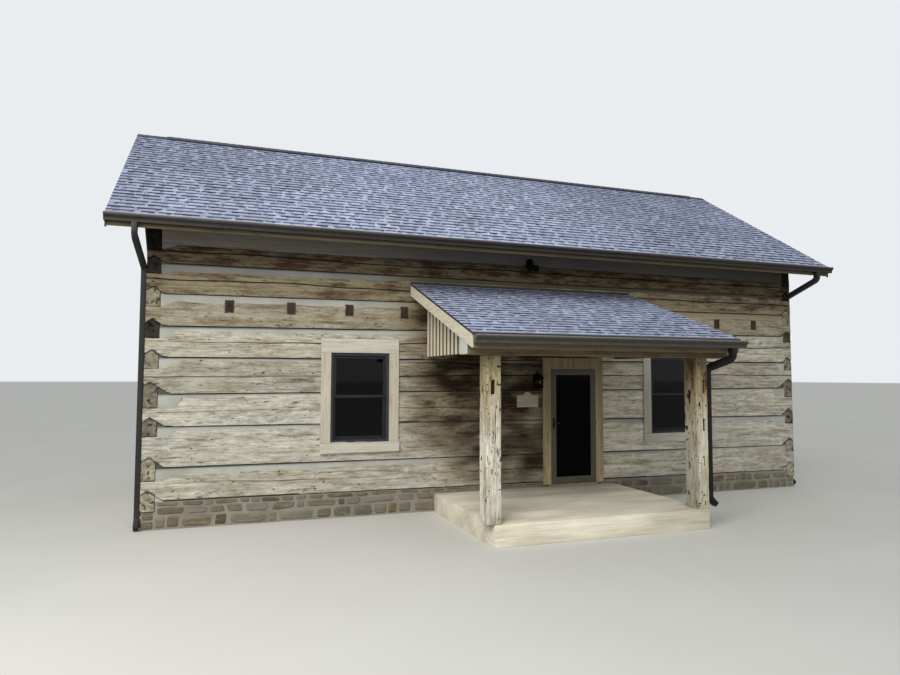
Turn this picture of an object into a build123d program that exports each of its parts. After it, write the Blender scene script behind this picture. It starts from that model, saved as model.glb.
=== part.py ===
"""A log cabin: hewn logs with V-notched corners, a gable roof and an open porch.

The frame: X runs along the front wall to the right, Y runs into the building, Z is up.
The origin is on the ground, below the middle of the whole building.
"""
import os
from math import cos, radians, tan

from build123d import *

os.makedirs("parts", exist_ok=True)

# The log walls, in millimetres
wall_length = 12400
wall_depth = 6130
log_width = 200
log_edge = 14
sill_height_left = 411
sill_height_right = 348
log_heights_left = [393, 553, 451, 519, 394, 396, 362, 294]
log_heights_right = [491, 546, 561, 509, 527, 339, 364, 300]
chink_gaps_left = [95, 44, 29, 26, 73, 91, 103]
chink_gaps_right = [12, 66, 13, 12, 24, 110, 20]
chink_recess = 18
plate_gap = 15
plate_height = 450

# The V-notches at the corners: a crown on each log's end, a seat under the next one
crown_slope = 0.7
crown_drops = [104, 93, 172, 136, 96, 102, 61, 86]
notch_runs = [89, 83, 80, 120, 50, 47, 47, 45]
long_shoulders = [(280, 220), (380, 130), (450, 105), (300, 130), (300, 140), (250, 190), (230, 250), (230, 250)]
side_shoulder = (330, 110)
side_chink = 60
side_sill_drop = 140

# The floors
slab_height = 300
threshold_height = 38
floor_thickness = 100
joist_count = 12
joist_width = 140
joist_depth = 200
joist_let_in = 154
joist_course = 6
first_joist = 1180
last_joist = 11410
loft_board = 30

# The main roof
roof_pitch = 32.7
eave_run = 640
gable_overhang_left = 496
gable_overhang_right = 406
rafter_count = 20
rafter_width = 45
rafter_depth = 140
first_rafter = 400
roof_thickness = 45
ridge_board_width = 38
gable_thickness = 60
rake_board_depth = 150
board_thickness = 25
shingle_drip = 35
vent_width = 300
vent_thickness = 22
vent_inset = 520

# Gutters and downspouts
gutter_width = 125
gutter_base = 90
gutter_step = 28
gutter_lip = 26
gutter_height = 112
gutter_sheet = 4
gutter_overrun = 5
gutter_lip_rise = 39
spout_width = 76
spout_depth = 98
spout_bend = 90
left_spout_bends = (180, 340)
right_spout_bends = (150, 300)
porch_spout_bends = (150, 150)
spout_foot = 150
spout_kick = 110
spout_end_height = 45
left_outlet_place = -110
wall_spout_run = 60
hidden_spout_run = 160
seat_gap = 0.3

# The porch, whose places along the wall are measured from the left corner
porch_slab_left = 4510
porch_slab_right = 8000
porch_slab_run = 2570
post_width = 215
post_thickness = 260
left_post_place = 4496
right_post_place = 7890
post_height = 2250
mortise_depth = 60
left_post_mortises = [(-10, 1727, 50, 183), (-97, 1577, 22, 181)]
right_post_mortises = [(47, 1724, 44, 189), (41, 1156, 44, 173)]
post_side_mortises = [(160, 1566, 60, 200), (180, 580, 42, 98)]
beam_depth = 235
beam_thickness = 270
beam_run = 2600
porch_pitch = 19.37
porch_roof_left = 4080
porch_roof_right = 8400
porch_eave_run = 2844
porch_roof_thickness = 40
porch_rafter_count = 7
porch_rafter_depth = 90
porch_ledger_thickness = 38
porch_side_overhang = 320
porch_fascia_depth = 196
porch_rake_depth = 178
porch_gutter_overrun = 60
porch_gutter_lip_rise = 7
porch_outlet_inset = 175
infill_drop = 40
infill_sheet = 12
infill_rib = 22
infill_rib_width = 100
infill_rib_pitch = 170
flashing_sheet = 5
flashing_up = 20
flashing_out = 70

# The storm door and its casing
door_place = 7175
door_width = 915
door_height = 2057
door_gap = 5
door_thickness = 38
door_stile = 100
door_top_rail = 100
door_bottom_rail = 120
door_casing_width = 155
door_head_height = 205
casing_thickness = 30
jamb_thickness = 35
door_stop = 15
pane_thickness = 6
hinge_radius = 7
hinge_length = 60
hinge_plate = 3
hinge_split = 1
hinge_heights = [230, 1030, 1830]
handle_height = 1085
handle_plate_width = 34
handle_plate_height = 190
handle_plate_thickness = 12
handle_shaft_radius = 11
handle_reach = 40
lever_length = 115
lever_height = 20
lever_thickness = 14

# The windows
window_places = [3235, 9350]
window_sill_height = 890
window_width = 965
window_height = 1450
window_casing_width = 160
window_head_height = 225
window_sill_depth = 160
window_sill_out = 55
window_sill_overlap = 10
window_frame_width = 45
window_frame_depth = 130
sash_width = 48
sash_thickness = 34
sash_gap = 1
meeting_rail_height = 743

# Wall fittings, whose heights are measured from the porch slab
lantern_place = 6420
lantern_foot = 1755
lantern_width = 120
lantern_body_height = 175
lantern_roof_height = 75
lantern_roof_width = 165
lantern_plate_width = 95
lantern_plate_height = 170
lantern_plate = 14
lantern_out = 125
lantern_bar = 12
lantern_base = 18
lantern_finial = 14
lantern_arm_radius = 8
flood_place = 6305
flood_height = 4015
flood_plate_radius = 62
flood_plate = 35
flood_head_radius = 60
flood_neck_radius = 32
flood_head_length = 150
flood_spread = 58
flood_drop = 95
flood_out = 95
flood_turn = 22
flood_tilt = 25
flood_knuckle_radius = 16
plaque_place = 6255
plaque_foot = 1420
plaque_width = 415
plaque_height = 214
plaque_hump_width = 168
plaque_hump_height = 60
plaque_thickness = 15

cut_margin = 20
roof_tan = tan(radians(roof_pitch))
roof_cos = cos(radians(roof_pitch))
porch_tan = tan(radians(porch_pitch))
porch_cos = cos(radians(porch_pitch))
roof_length = wall_length + gable_overhang_left + gable_overhang_right
left_corner = gable_overhang_left - roof_length / 2
right_corner = left_corner + wall_length
roof_left = left_corner - gable_overhang_left
roof_right = right_corner + gable_overhang_right
gutter_reach = gutter_width - shingle_drip
front_reach = porch_eave_run + gutter_reach
back_reach = eave_run + gutter_reach
front_face = (front_reach - wall_depth - back_reach) / 2
back_face = front_face + wall_depth
floor_top = slab_height + threshold_height


def from_left(place):
    """The X of a place that is measured from the left corner."""
    return left_corner + place


def stack_levels(bottom, heights, gaps):
    """The underside and the top of each log at one end of the front wall."""
    levels = []
    for height, gap in zip(heights, gaps + [0]):
        levels.append((bottom, bottom + height))
        bottom += height + gap
    return levels


left_levels = stack_levels(sill_height_left, log_heights_left, chink_gaps_left)
right_levels = stack_levels(sill_height_right, log_heights_right, chink_gaps_right)
course_count = len(left_levels)
crown_rise = crown_slope * log_width / 2
plate_bottom = max(left_levels[-1][1], right_levels[-1][1]) + plate_gap
plate_top = plate_bottom + plate_height
joist_bottom = min(left_levels[joist_course - 1][1], right_levels[joist_course - 1][1]) - joist_let_in
joist_top = joist_bottom + joist_depth
joist_pitch = (last_joist - first_joist) / (joist_count - 1)
joist_places = [first_joist + number * joist_pitch for number in range(joist_count)]

# Planes in which each wall is drawn: x runs along the wall, y is up
front_wall = Plane(origin=(left_corner, front_face + log_width / 2, 0), x_dir=(1, 0, 0), z_dir=(0, -1, 0))
back_wall = Plane(origin=(left_corner, back_face - log_width / 2, 0), x_dir=(1, 0, 0), z_dir=(0, -1, 0))
left_wall = Plane(origin=(left_corner + log_width / 2, front_face, 0), x_dir=(0, 1, 0), z_dir=(1, 0, 0))
right_wall = Plane(origin=(right_corner - log_width / 2, front_face, 0), x_dir=(0, 1, 0), z_dir=(1, 0, 0))


def middle(level):
    """The mid-height of a log."""
    return (level[0] + level[1]) / 2


def slanted(place, length, start, end):
    """The height, at a place along a wall, of a line from one end's height to the other's."""
    return start + (end - start) * place / length


def front_crown(levels, course):
    """The ridge height of the crown on a front or back log."""
    return levels[course][1] - crown_drops[course] + crown_rise


def side_crown(levels, course):
    """The ridge height of the crown on the side log below the given front log."""
    return levels[course][0] + notch_runs[course] + crown_rise


def side_log_levels(levels):
    """The underside and the top of each side log, from the sill to the plate."""
    side_levels = [(levels[0][0] - side_sill_drop, middle(levels[0]) - side_chink / 2)]
    for course in range(1, course_count):
        bottom = middle(levels[course - 1]) + side_chink / 2
        top = middle(levels[course]) - side_chink / 2
        side_levels.append((bottom, top))
    side_levels.append((middle(levels[-1]) + side_chink / 2, plate_top))
    return side_levels


def cut_through(wall, *points):
    """Cut an outline, drawn on a wall's plane, through the part being built."""
    with BuildSketch(wall) as outline:
        Polygon(*points, align=None)
    extrude(outline.sketch, amount=log_width, both=True, mode=Mode.SUBTRACT)


def cut_hole(wall, hole):
    """Cut a rectangular hole through the part being built."""
    left, right, bottom, top = hole
    cut_through(wall, (left, bottom), (right, bottom), (right, top), (left, top))


def holes_at(holes, bottom, top):
    """The holes that reach into a stretch of a wall's height."""
    return [hole for hole in holes if hole[2] < top and hole[3] > bottom]


def cut_seat(wall, along, bottom, ridge):
    """Cut the V under a log's end that sits over the crown of the log below."""
    outer = along(-cut_margin)
    run = (ridge - bottom + cut_margin) / crown_slope
    low = bottom - cut_margin
    cut_through(
        wall,
        (outer, low),
        (outer, ridge - crown_slope * (log_width / 2 + cut_margin)),
        (along(log_width / 2), ridge),
        (along(log_width / 2 + run), low),
    )


def cut_crown(wall, along, inward, top, ridge, shoulder):
    """Shape a log's end into a crown, a small gable whose ridge runs along the log.

    The shoulder is where the crown ends, and the run over which the log regains its height.
    """
    crown_end, rising_run = shoulder
    start = wall.from_local_coords(Vector(along(-cut_margin), 0, 0))
    half = log_width / 2 + cut_margin
    eave = ridge - crown_slope * half
    above = top + cut_margin
    with BuildSketch(Plane(origin=start, x_dir=wall.z_dir * -1, z_dir=wall.x_dir)) as gable:
        Polygon((-half, above), (-half, eave), (0, ridge), (half, eave), (half, above), align=None)
    extrude(gable.sketch, amount=inward * (crown_end + cut_margin), mode=Mode.SUBTRACT)
    cut_through(
        wall,
        (along(crown_end), ridge - crown_rise),
        (along(crown_end + rising_run), above),
        (along(crown_end), above),
    )


def hewn_log(wall, length, start_level, end_level, seats, crowns, shoulder, holes):
    """A hewn log with a V seat and a crown at each end, and the wall's holes cut through."""
    with BuildPart() as log:
        with BuildSketch(wall):
            Polygon(
                (0, start_level[0]),
                (length, end_level[0]),
                (length, end_level[1]),
                (0, start_level[1]),
                align=None,
            )
        extrude(amount=log_width / 2, both=True)
        chamfer(log.edges().filter_by(lambda edge: edge.length > length / 2), log_edge)
        ends = [
            (lambda distance: distance, 1, start_level),
            (lambda distance: length - distance, -1, end_level),
        ]
        for (along, inward, level), seat, crown in zip(ends, seats, crowns):
            if seat is not None:
                cut_seat(wall, along, level[0], seat)
            if crown is not None:
                cut_crown(wall, along, inward, level[1], crown, shoulder)
        bottom = min(start_level[0], end_level[0])
        top = max(start_level[1], end_level[1])
        for hole in holes_at(holes, bottom, top):
            cut_hole(wall, hole)
    return log.part


def chinking(wall, length, lower, upper, logs, holes):
    """The mortar between two logs, set back from both faces of the wall."""
    with BuildPart() as strip:
        with BuildSketch(wall):
            Polygon(
                (log_width, slanted(log_width, length, *lower)),
                (length - log_width, slanted(length - log_width, length, *lower)),
                (length - log_width, slanted(length - log_width, length, *upper)),
                (log_width, slanted(log_width, length, *upper)),
                align=None,
            )
        extrude(amount=log_width / 2 - chink_recess, both=True)
        for log in logs:
            add(log, mode=Mode.SUBTRACT)
        for hole in holes_at(holes, min(lower), max(upper)):
            cut_hole(wall, hole)
    return strip.part


def solids_of(parts):
    """All the solids of some parts, in one list."""
    return [solid for part in parts for solid in part.solids()]


def save(name, part):
    """Label a finished piece and write it."""
    part.label = name
    export_step(part, f"parts/{name}.step")


def save_group(name, solids):
    """Write separate solids of one kind as one piece."""
    with BuildPart() as group:
        add(solids)
    save(name, group.part)


# The holes through the long walls
door_left = door_place - door_width / 2 - door_gap - jamb_thickness
door_right = door_place + door_width / 2 + door_gap + jamb_thickness
door_top = floor_top + door_height + door_gap + jamb_thickness
doorway = (door_left, door_right, slab_height, door_top)
window_bottom = slab_height + window_sill_height
window_top = window_bottom + window_height
window_holes = [
    (place - window_width / 2, place + window_width / 2, window_bottom, window_top)
    for place in window_places
]
joist_holes = [
    (place - joist_width / 2, place + joist_width / 2, joist_bottom, joist_top) for place in joist_places
]
front_holes = [doorway] + window_holes + joist_holes
back_holes = window_holes + joist_holes

# The stone foundation, whose walls stand under the sill logs
side_levels_left = side_log_levels(left_levels)
side_levels_right = side_log_levels(right_levels)


def long_foundation(wall, holes):
    """The foundation under a long wall, between the two side foundations."""
    first = log_width
    last = wall_length - log_width
    sill = (sill_height_left, sill_height_right)
    with BuildPart() as footing:
        with BuildSketch(wall):
            Polygon(
                (first, 0),
                (last, 0),
                (last, slanted(last, wall_length, *sill)),
                (first, slanted(first, wall_length, *sill)),
                align=None,
            )
        extrude(amount=log_width / 2, both=True)
        for hole in holes:
            cut_hole(wall, hole)
    return footing.part


save("front_foundation", long_foundation(front_wall, [doorway]))
save("back_foundation", long_foundation(back_wall, []))

with BuildPart() as side_foundations:
    for x, levels in [(left_corner, side_levels_left), (right_corner - log_width, side_levels_right)]:
        with Locations((x, front_face, 0)):
            Box(log_width, wall_depth, levels[0][0], align=(Align.MIN, Align.MIN, Align.MIN))
save("side_foundations", side_foundations.part)

# The long walls' logs, from the sill up
def long_wall_logs(wall, holes):
    """The logs of the front or the back wall."""
    logs = []
    for course in range(course_count):
        seats = (side_crown(left_levels, course), side_crown(right_levels, course))
        crowns = (front_crown(left_levels, course), front_crown(right_levels, course))
        levels = (left_levels[course], right_levels[course])
        logs.append(hewn_log(wall, wall_length, *levels, seats, crowns, long_shoulders[course], holes))
    return logs


def side_wall_logs(wall, levels, side_levels):
    """The logs of a side wall, which sit half a course above the front wall's logs."""
    logs = []
    for course in range(course_count + 1):
        seat = front_crown(levels, course - 1) if course > 0 else None
        crown = side_crown(levels, course) if course < course_count else None
        level = side_levels[course]
        ends = ((seat, seat), (crown, crown))
        logs.append(hewn_log(wall, wall_depth, level, level, *ends, side_shoulder, []))
    return logs


front_logs = long_wall_logs(front_wall, front_holes)
back_logs = long_wall_logs(back_wall, back_holes)
left_logs = side_wall_logs(left_wall, left_levels, side_levels_left)
right_logs = side_wall_logs(right_wall, right_levels, side_levels_right)

front_solids = solids_of(front_logs)
door_x = from_left(door_place)
beside_left = [solid for solid in front_solids if solid.bounding_box().max.X < door_x]
beside_right = [solid for solid in front_solids if solid.bounding_box().min.X > door_x]
over_door = [
    solid
    for solid in front_solids
    if solid.bounding_box().min.X < door_x and solid.bounding_box().max.X > door_x
]
save_group("front_logs_left", beside_left)
save_group("front_logs_right", beside_right)
save_group("front_logs_over", over_door)
save_group("back_logs", solids_of(back_logs))
save_group("left_logs", solids_of(left_logs))
save_group("right_logs", solids_of(right_logs))

# The chinking between the logs
def long_wall_chinking(wall, logs, holes):
    """The mortar strips of the front or the back wall."""
    strips = []
    for course in range(course_count + 1):
        if course == 0:
            lower = (sill_height_left, sill_height_right)
        else:
            lower = (middle(left_levels[course - 1]), middle(right_levels[course - 1]))
        if course == course_count:
            upper = (plate_bottom, plate_bottom)
        else:
            upper = (middle(left_levels[course]), middle(right_levels[course]))
        around = logs[max(course - 1, 0) : course + 1]
        strips.append(chinking(wall, wall_length, lower, upper, around, holes))
    return strips


def side_wall_chinking(wall, logs, side_levels):
    """The mortar strips of a side wall."""
    strips = []
    for course in range(course_count):
        lower = middle(side_levels[course])
        upper = middle(side_levels[course + 1])
        around = logs[course : course + 2]
        strips.append(chinking(wall, wall_depth, (lower, lower), (upper, upper), around, []))
    return strips


save_group("front_chinking", solids_of(long_wall_chinking(front_wall, front_logs, front_holes)))
save_group("back_chinking", solids_of(long_wall_chinking(back_wall, back_logs, back_holes)))
side_strips = side_wall_chinking(left_wall, left_logs, side_levels_left)
side_strips += side_wall_chinking(right_wall, right_logs, side_levels_right)
save_group("side_chinking", solids_of(side_strips))

# The floors
room_length = wall_length - 2 * log_width
room_depth = wall_depth - 2 * log_width
room_corner = (left_corner + log_width, front_face + log_width)

with BuildPart() as cabin_floor:
    with Locations((*room_corner, floor_top)):
        Box(room_length, room_depth, floor_thickness, align=(Align.MIN, Align.MIN, Align.MAX))
save("cabin_floor", cabin_floor.part)

with BuildPart() as loft_joists:
    for place in joist_places:
        with Locations((from_left(place), front_face, joist_bottom)):
            Box(joist_width, wall_depth, joist_depth, align=(Align.CENTER, Align.MIN, Align.MIN))
save("loft_joists", loft_joists.part)

with BuildPart() as loft_floor:
    with Locations((*room_corner, joist_top)):
        Box(room_length, room_depth, loft_board, align=(Align.MIN, Align.MIN, Align.MIN))
save("loft_floor", loft_floor.part)


# The main roof, drawn on a plane across the building. A run is measured inward from a wall's face.
def rafter_under(run):
    """The height of the rafters' underside."""
    return plate_top + roof_tan * run


def roof_under(run):
    """The height of the roof deck's underside."""
    return rafter_under(run) + rafter_depth / roof_cos


def roof_top(run):
    """The height of the shingles' surface."""
    return roof_under(run) + roof_thickness / roof_cos


def front_y(run):
    """The Y of a run from the front wall's face."""
    return front_face + run


def back_y(run):
    """The Y of a run from the back wall's face."""
    return back_face - run


half_depth = wall_depth / 2
fascia_run = -(eave_run - shingle_drip)
rafter_tail = fascia_run + board_thickness
rafter_pitch = (wall_length - 2 * first_rafter) / (rafter_count - 1)
rafter_places = [first_rafter + number * rafter_pitch for number in range(rafter_count)]


def slope_outline(y_of, outer, inner, under, top):
    """An outline between two heights that follow the slope, from an outer run to an inner one."""
    Polygon(
        (y_of(outer), under(outer)),
        (y_of(inner), under(inner)),
        (y_of(inner), top(inner)),
        (y_of(outer), top(outer)),
        align=None,
    )


def roof_slope(y_of):
    """The deck and shingles of one slope."""
    with BuildPart() as slope:
        with BuildSketch(Plane.YZ.offset(roof_left)):
            slope_outline(y_of, -eave_run, half_depth, roof_under, roof_top)
        extrude(amount=roof_length)
    return slope.part


save("front_roof", roof_slope(front_y))
save("back_roof", roof_slope(back_y))

ridge_side = half_depth - ridge_board_width / 2
with BuildPart() as rafters:
    for y_of in (front_y, back_y):
        for place in rafter_places:
            with BuildSketch(Plane.YZ.offset(from_left(place))):
                slope_outline(y_of, rafter_tail, ridge_side, rafter_under, roof_under)
            extrude(amount=rafter_width / 2, both=True)
save("rafters", rafters.part)

with BuildPart() as ridge_board:
    with BuildSketch(Plane.YZ.offset(left_corner + gable_thickness)):
        with Locations((front_y(half_depth), (rafter_under(half_depth) + roof_under(ridge_side)) / 2)):
            Rectangle(ridge_board_width, roof_under(ridge_side) - rafter_under(half_depth))
    extrude(amount=wall_length - 2 * gable_thickness)
save("ridge_board", ridge_board.part)

# The plates lie on the long walls, and close the eaves between the rafters
plates = []
for y_of in (front_y, back_y):
    with BuildPart() as plate:
        with BuildSketch(Plane.YZ.offset(left_corner + log_width)):
            slope_outline(y_of, 0, log_width, lambda run: plate_bottom, roof_under)
        extrude(amount=room_length)
        with BuildSketch(Plane.YZ.offset(left_corner + gable_thickness)):
            slope_outline(y_of, 0, log_width, lambda run: plate_top, roof_under)
        extrude(amount=wall_length - 2 * gable_thickness)
        add(rafters.part, mode=Mode.SUBTRACT)
    plates.append(plate.part)
save_group("wall_plates", solids_of(plates))

with BuildPart() as gable_walls:
    for x in (left_corner, right_corner - gable_thickness):
        with BuildSketch(Plane.YZ.offset(x)):
            Polygon(
                (front_y(0), plate_top),
                (front_y(0), roof_under(0)),
                (front_y(half_depth), roof_under(half_depth)),
                (back_y(0), roof_under(0)),
                (back_y(0), plate_top),
                align=None,
            )
        extrude(amount=gable_thickness)
save("gable_walls", gable_walls.part)


def rake_under(run):
    """The height of the rake boards' lower edge."""
    return roof_under(run) - rake_board_depth / roof_cos


def rake_boards(y_of):
    """The two rake boards of one slope, at the gable overhangs."""
    with BuildPart() as boards:
        for x in (roof_left, roof_right - board_thickness):
            with BuildSketch(Plane.YZ.offset(x)):
                slope_outline(y_of, fascia_run, half_depth, rake_under, roof_under)
            extrude(amount=board_thickness)
    return boards.part


save("front_rake_boards", rake_boards(front_y))
save("back_rake_boards", rake_boards(back_y))


def vent_top(run):
    """The height of the ridge vent's upper face."""
    return roof_top(run) + vent_thickness / roof_cos


with BuildPart() as ridge_vent:
    with BuildSketch(Plane.YZ.offset(roof_left + vent_inset)):
        slope_outline(front_y, half_depth - vent_width / 2, half_depth, roof_top, vent_top)
        slope_outline(back_y, half_depth - vent_width / 2, half_depth, roof_top, vent_top)
    extrude(amount=roof_length - 2 * vent_inset)
save("ridge_vent", ridge_vent.part)


# The porch roof, whose runs are measured outward from the front wall's face
def porch_y(run):
    """The Y of a run out from the front wall."""
    return front_face - run


beam_bottom = slab_height + post_height
beam_back_run = beam_run - beam_thickness
porch_fascia_run = porch_eave_run - shingle_drip
porch_tail_run = porch_fascia_run - board_thickness
porch_left = from_left(porch_roof_left)
porch_right = from_left(porch_roof_right)
porch_length = porch_right - porch_left


def porch_rafter_under(run):
    """The height of the porch rafters' underside."""
    return beam_bottom + beam_depth + porch_tan * (beam_run - run)


def porch_roof_under(run):
    """The height of the porch deck's underside."""
    return porch_rafter_under(run) + porch_rafter_depth / porch_cos


def porch_roof_top(run):
    """The height of the porch shingles' surface."""
    return porch_roof_under(run) + porch_roof_thickness / porch_cos


with BuildPart() as porch_slab:
    with Locations((from_left(porch_slab_left), front_face, 0)):
        Box(
            porch_slab_right - porch_slab_left,
            porch_slab_run,
            slab_height,
            align=(Align.MIN, Align.MAX, Align.MIN),
        )
save("porch_slab", porch_slab.part)

# The posts are reused timbers, with the mortises of their earlier joints
post_front = porch_y(porch_slab_run)
post_back = post_front + post_thickness


def mortise(low, high):
    """Cut a slot between two corners out of the post being built."""
    size = [b - a for a, b in zip(low, high)]
    with Locations(tuple(low)):
        Box(*size, align=(Align.MIN, Align.MIN, Align.MIN), mode=Mode.SUBTRACT)


with BuildPart() as porch_posts:
    for place, mortises in [(left_post_place, left_post_mortises), (right_post_place, right_post_mortises)]:
        x = from_left(place)
        with Locations((x, post_front, slab_height)):
            Box(post_width, post_thickness, post_height, align=(Align.CENTER, Align.MIN, Align.MIN))
        for across, foot, width, height in mortises:
            near = (x + across - width / 2, post_front, slab_height + foot)
            mortise(near, (near[0] + width, post_front + mortise_depth, near[2] + height))
    side = from_left(right_post_place) - post_width / 2
    for back, foot, width, height in post_side_mortises:
        near = (side, post_front + back - width / 2, slab_height + foot)
        mortise(near, (side + mortise_depth, near[1] + width, near[2] + height))
save("porch_posts", porch_posts.part)

with BuildPart() as porch_beam:
    with BuildSketch(Plane.YZ.offset(porch_left + board_thickness)):
        slope_outline(porch_y, beam_run, beam_back_run, lambda run: beam_bottom, porch_rafter_under)
    extrude(amount=porch_length - 2 * board_thickness)
save("porch_beam", porch_beam.part)

with BuildPart() as porch_roof:
    with BuildSketch(Plane.YZ.offset(porch_left)):
        slope_outline(porch_y, porch_eave_run, 0, porch_roof_under, porch_roof_top)
    extrude(amount=porch_length)
save("porch_roof", porch_roof.part)

infill_left = porch_left + porch_side_overhang
infill_right = porch_right - porch_side_overhang
infill_bottom = beam_bottom + infill_drop
porch_rafter_first = infill_left + infill_sheet + rafter_width
porch_rafter_last = infill_right - infill_sheet - rafter_width
porch_rafter_pitch = (porch_rafter_last - porch_rafter_first) / (porch_rafter_count - 1)

with BuildPart() as porch_rafters:
    for number in range(porch_rafter_count):
        with BuildSketch(Plane.YZ.offset(porch_rafter_first + number * porch_rafter_pitch)):
            slope_outline(
                porch_y, porch_tail_run, porch_ledger_thickness, porch_rafter_under, porch_roof_under
            )
        extrude(amount=rafter_width / 2, both=True)
save("porch_rafters", porch_rafters.part)

with BuildPart() as porch_ledger:
    with BuildSketch(Plane.YZ.offset(infill_left + infill_sheet)):
        slope_outline(
            porch_y, porch_ledger_thickness, 0, lambda run: porch_rafter_under(porch_ledger_thickness),
            porch_roof_under,
        )
    extrude(amount=infill_right - infill_left - 2 * infill_sheet)
save("porch_ledger", porch_ledger.part)

# The ribbed sheets that close the porch roof's two sides
def infill_outline(first_run, last_run):
    """The part of a side infill between two runs."""
    slope_outline(porch_y, last_run, first_run, lambda run: infill_bottom, porch_roof_under)


with BuildPart() as porch_infills:
    for x, outward in [(infill_left, -1), (infill_right, 1)]:
        with BuildSketch(Plane.YZ.offset(x)):
            infill_outline(0, beam_back_run)
        extrude(amount=-outward * infill_sheet)
        rib_count = int(beam_back_run // infill_rib_pitch) + 1
        with BuildSketch(Plane.YZ.offset(x)):
            for number in range(rib_count):
                first_run = number * infill_rib_pitch
                infill_outline(first_run, min(first_run + infill_rib_width, beam_back_run))
        extrude(amount=outward * infill_rib)
save("porch_infills", porch_infills.part)


def porch_rake_under(run):
    """The height of the porch rake boards' lower edge."""
    return porch_roof_under(run) - porch_rake_depth


with BuildPart() as porch_rake_boards:
    for x in (porch_left, porch_right - board_thickness):
        with BuildSketch(Plane.YZ.offset(x)):
            slope_outline(porch_y, porch_fascia_run, 0, porch_rake_under, porch_roof_under)
        extrude(amount=board_thickness)
save("porch_rake_boards", porch_rake_boards.part)

with BuildPart() as porch_flashing:
    with BuildSketch(Plane.YZ.offset(porch_left)):
        slope_outline(
            porch_y, flashing_out, 0, porch_roof_top, lambda run: porch_roof_top(run) + flashing_sheet
        )
        slope_outline(
            porch_y, flashing_sheet, 0, porch_roof_top, lambda run: porch_roof_top(0) + flashing_up
        )
    extrude(amount=porch_length)
save("porch_flashing", porch_flashing.part)

# The fascia boards behind the gutters
with BuildPart() as fascia_boards:
    with BuildSketch(Plane.YZ.offset(roof_left + board_thickness)):
        for y_of in (front_y, back_y):
            slope_outline(
                y_of, fascia_run, rafter_tail, lambda run: rafter_under(rafter_tail), roof_under
            )
    extrude(amount=roof_length - 2 * board_thickness)
    with BuildSketch(Plane.YZ.offset(porch_left + board_thickness)):
        slope_outline(
            porch_y,
            porch_fascia_run,
            porch_tail_run,
            lambda run: porch_roof_under(porch_tail_run) - porch_fascia_depth,
            porch_roof_under,
        )
    extrude(amount=porch_length - 2 * board_thickness)
save("fascia_boards", fascia_boards.part)


def gutter_outline(back, outward, back_top, lip_top, inset):
    """A gutter's section: a flat back and base, and a front that swings out to a lip."""
    bottom = lip_top - gutter_height + inset
    foot = (back + outward * (gutter_base - inset), bottom)
    knee = (foot[0], bottom + gutter_step)
    lip = (back + outward * (gutter_width - inset), lip_top - gutter_lip)
    halfway = ((knee[0] + lip[0]) / 2, (knee[1] + lip[1]) / 2)
    rear = back + outward * inset
    clear_of_roof = back + outward * (shingle_drip + seat_gap)
    with BuildLine() as edge:
        Polyline((lip[0], lip_top), (clear_of_roof, back_top), (rear, back_top), (rear, bottom), foot, knee)
        TangentArc(knee, halfway, tangent=(0, 1))
        TangentArc(lip, halfway, tangent=(0, -1))
        Line(lip, (lip[0], lip_top))
    make_face(edge.edges())


def gutter(left, right, back, outward, back_top, lip_top):
    """An open trough with closed ends."""
    with BuildPart() as trough:
        with BuildSketch(Plane.YZ.offset(left)) as outside:
            gutter_outline(back, outward, back_top, lip_top, 0)
        extrude(outside.sketch, amount=right - left)
        with BuildSketch(Plane.YZ.offset(left + gutter_sheet)) as inside:
            gutter_outline(back, outward, back_top, lip_top, gutter_sheet)
        extrude(inside.sketch, amount=right - left - 2 * gutter_sheet, mode=Mode.SUBTRACT)
    return trough.part


eave_gutter_left = roof_left - gutter_overrun
eave_gutter_right = roof_right + gutter_overrun
eave_gutter_top = roof_under(-eave_run)
eave_lip_top = eave_gutter_top + gutter_lip_rise
porch_gutter_top = porch_roof_under(porch_eave_run)
porch_lip_top = porch_gutter_top + porch_gutter_lip_rise
porch_gutter_right = porch_right + porch_gutter_overrun
gutters = [
    gutter(eave_gutter_left, eave_gutter_right, front_y(fascia_run), -1, eave_gutter_top, eave_lip_top),
    gutter(eave_gutter_left, eave_gutter_right, back_y(fascia_run), 1, eave_gutter_top, eave_lip_top),
    gutter(
        porch_left + board_thickness,
        porch_gutter_right,
        porch_y(porch_fascia_run),
        -1,
        porch_gutter_top,
        porch_lip_top,
    ),
]
save_group("gutters", solids_of(gutters))


def downspout(outlet, bends, wall, foot, kick):
    """A rectangular pipe from a gutter's outlet to the wall, down it and out at its foot.

    The bends are the drop below the outlet and the height of the slant to the wall.
    """
    x, y, z = outlet
    wall_x, wall_y = wall
    kick_x, kick_y = kick
    drop, slant = bends
    route = [
        outlet,
        (x, y, z - drop),
        (wall_x, wall_y, z - drop - slant),
        (wall_x, wall_y, foot + spout_foot),
        (wall_x + kick_x, wall_y + kick_y, foot + spout_end_height),
    ]
    with BuildPart() as spout:
        with BuildLine() as path:
            FilletPolyline(*route, radius=spout_bend)
        with BuildSketch(Plane(origin=outlet, x_dir=(1, 0, 0), z_dir=(0, 0, -1))) as section:
            Rectangle(spout_width, spout_depth)
        sweep(section.sketch, path=path.line)
    return spout.part


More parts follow.
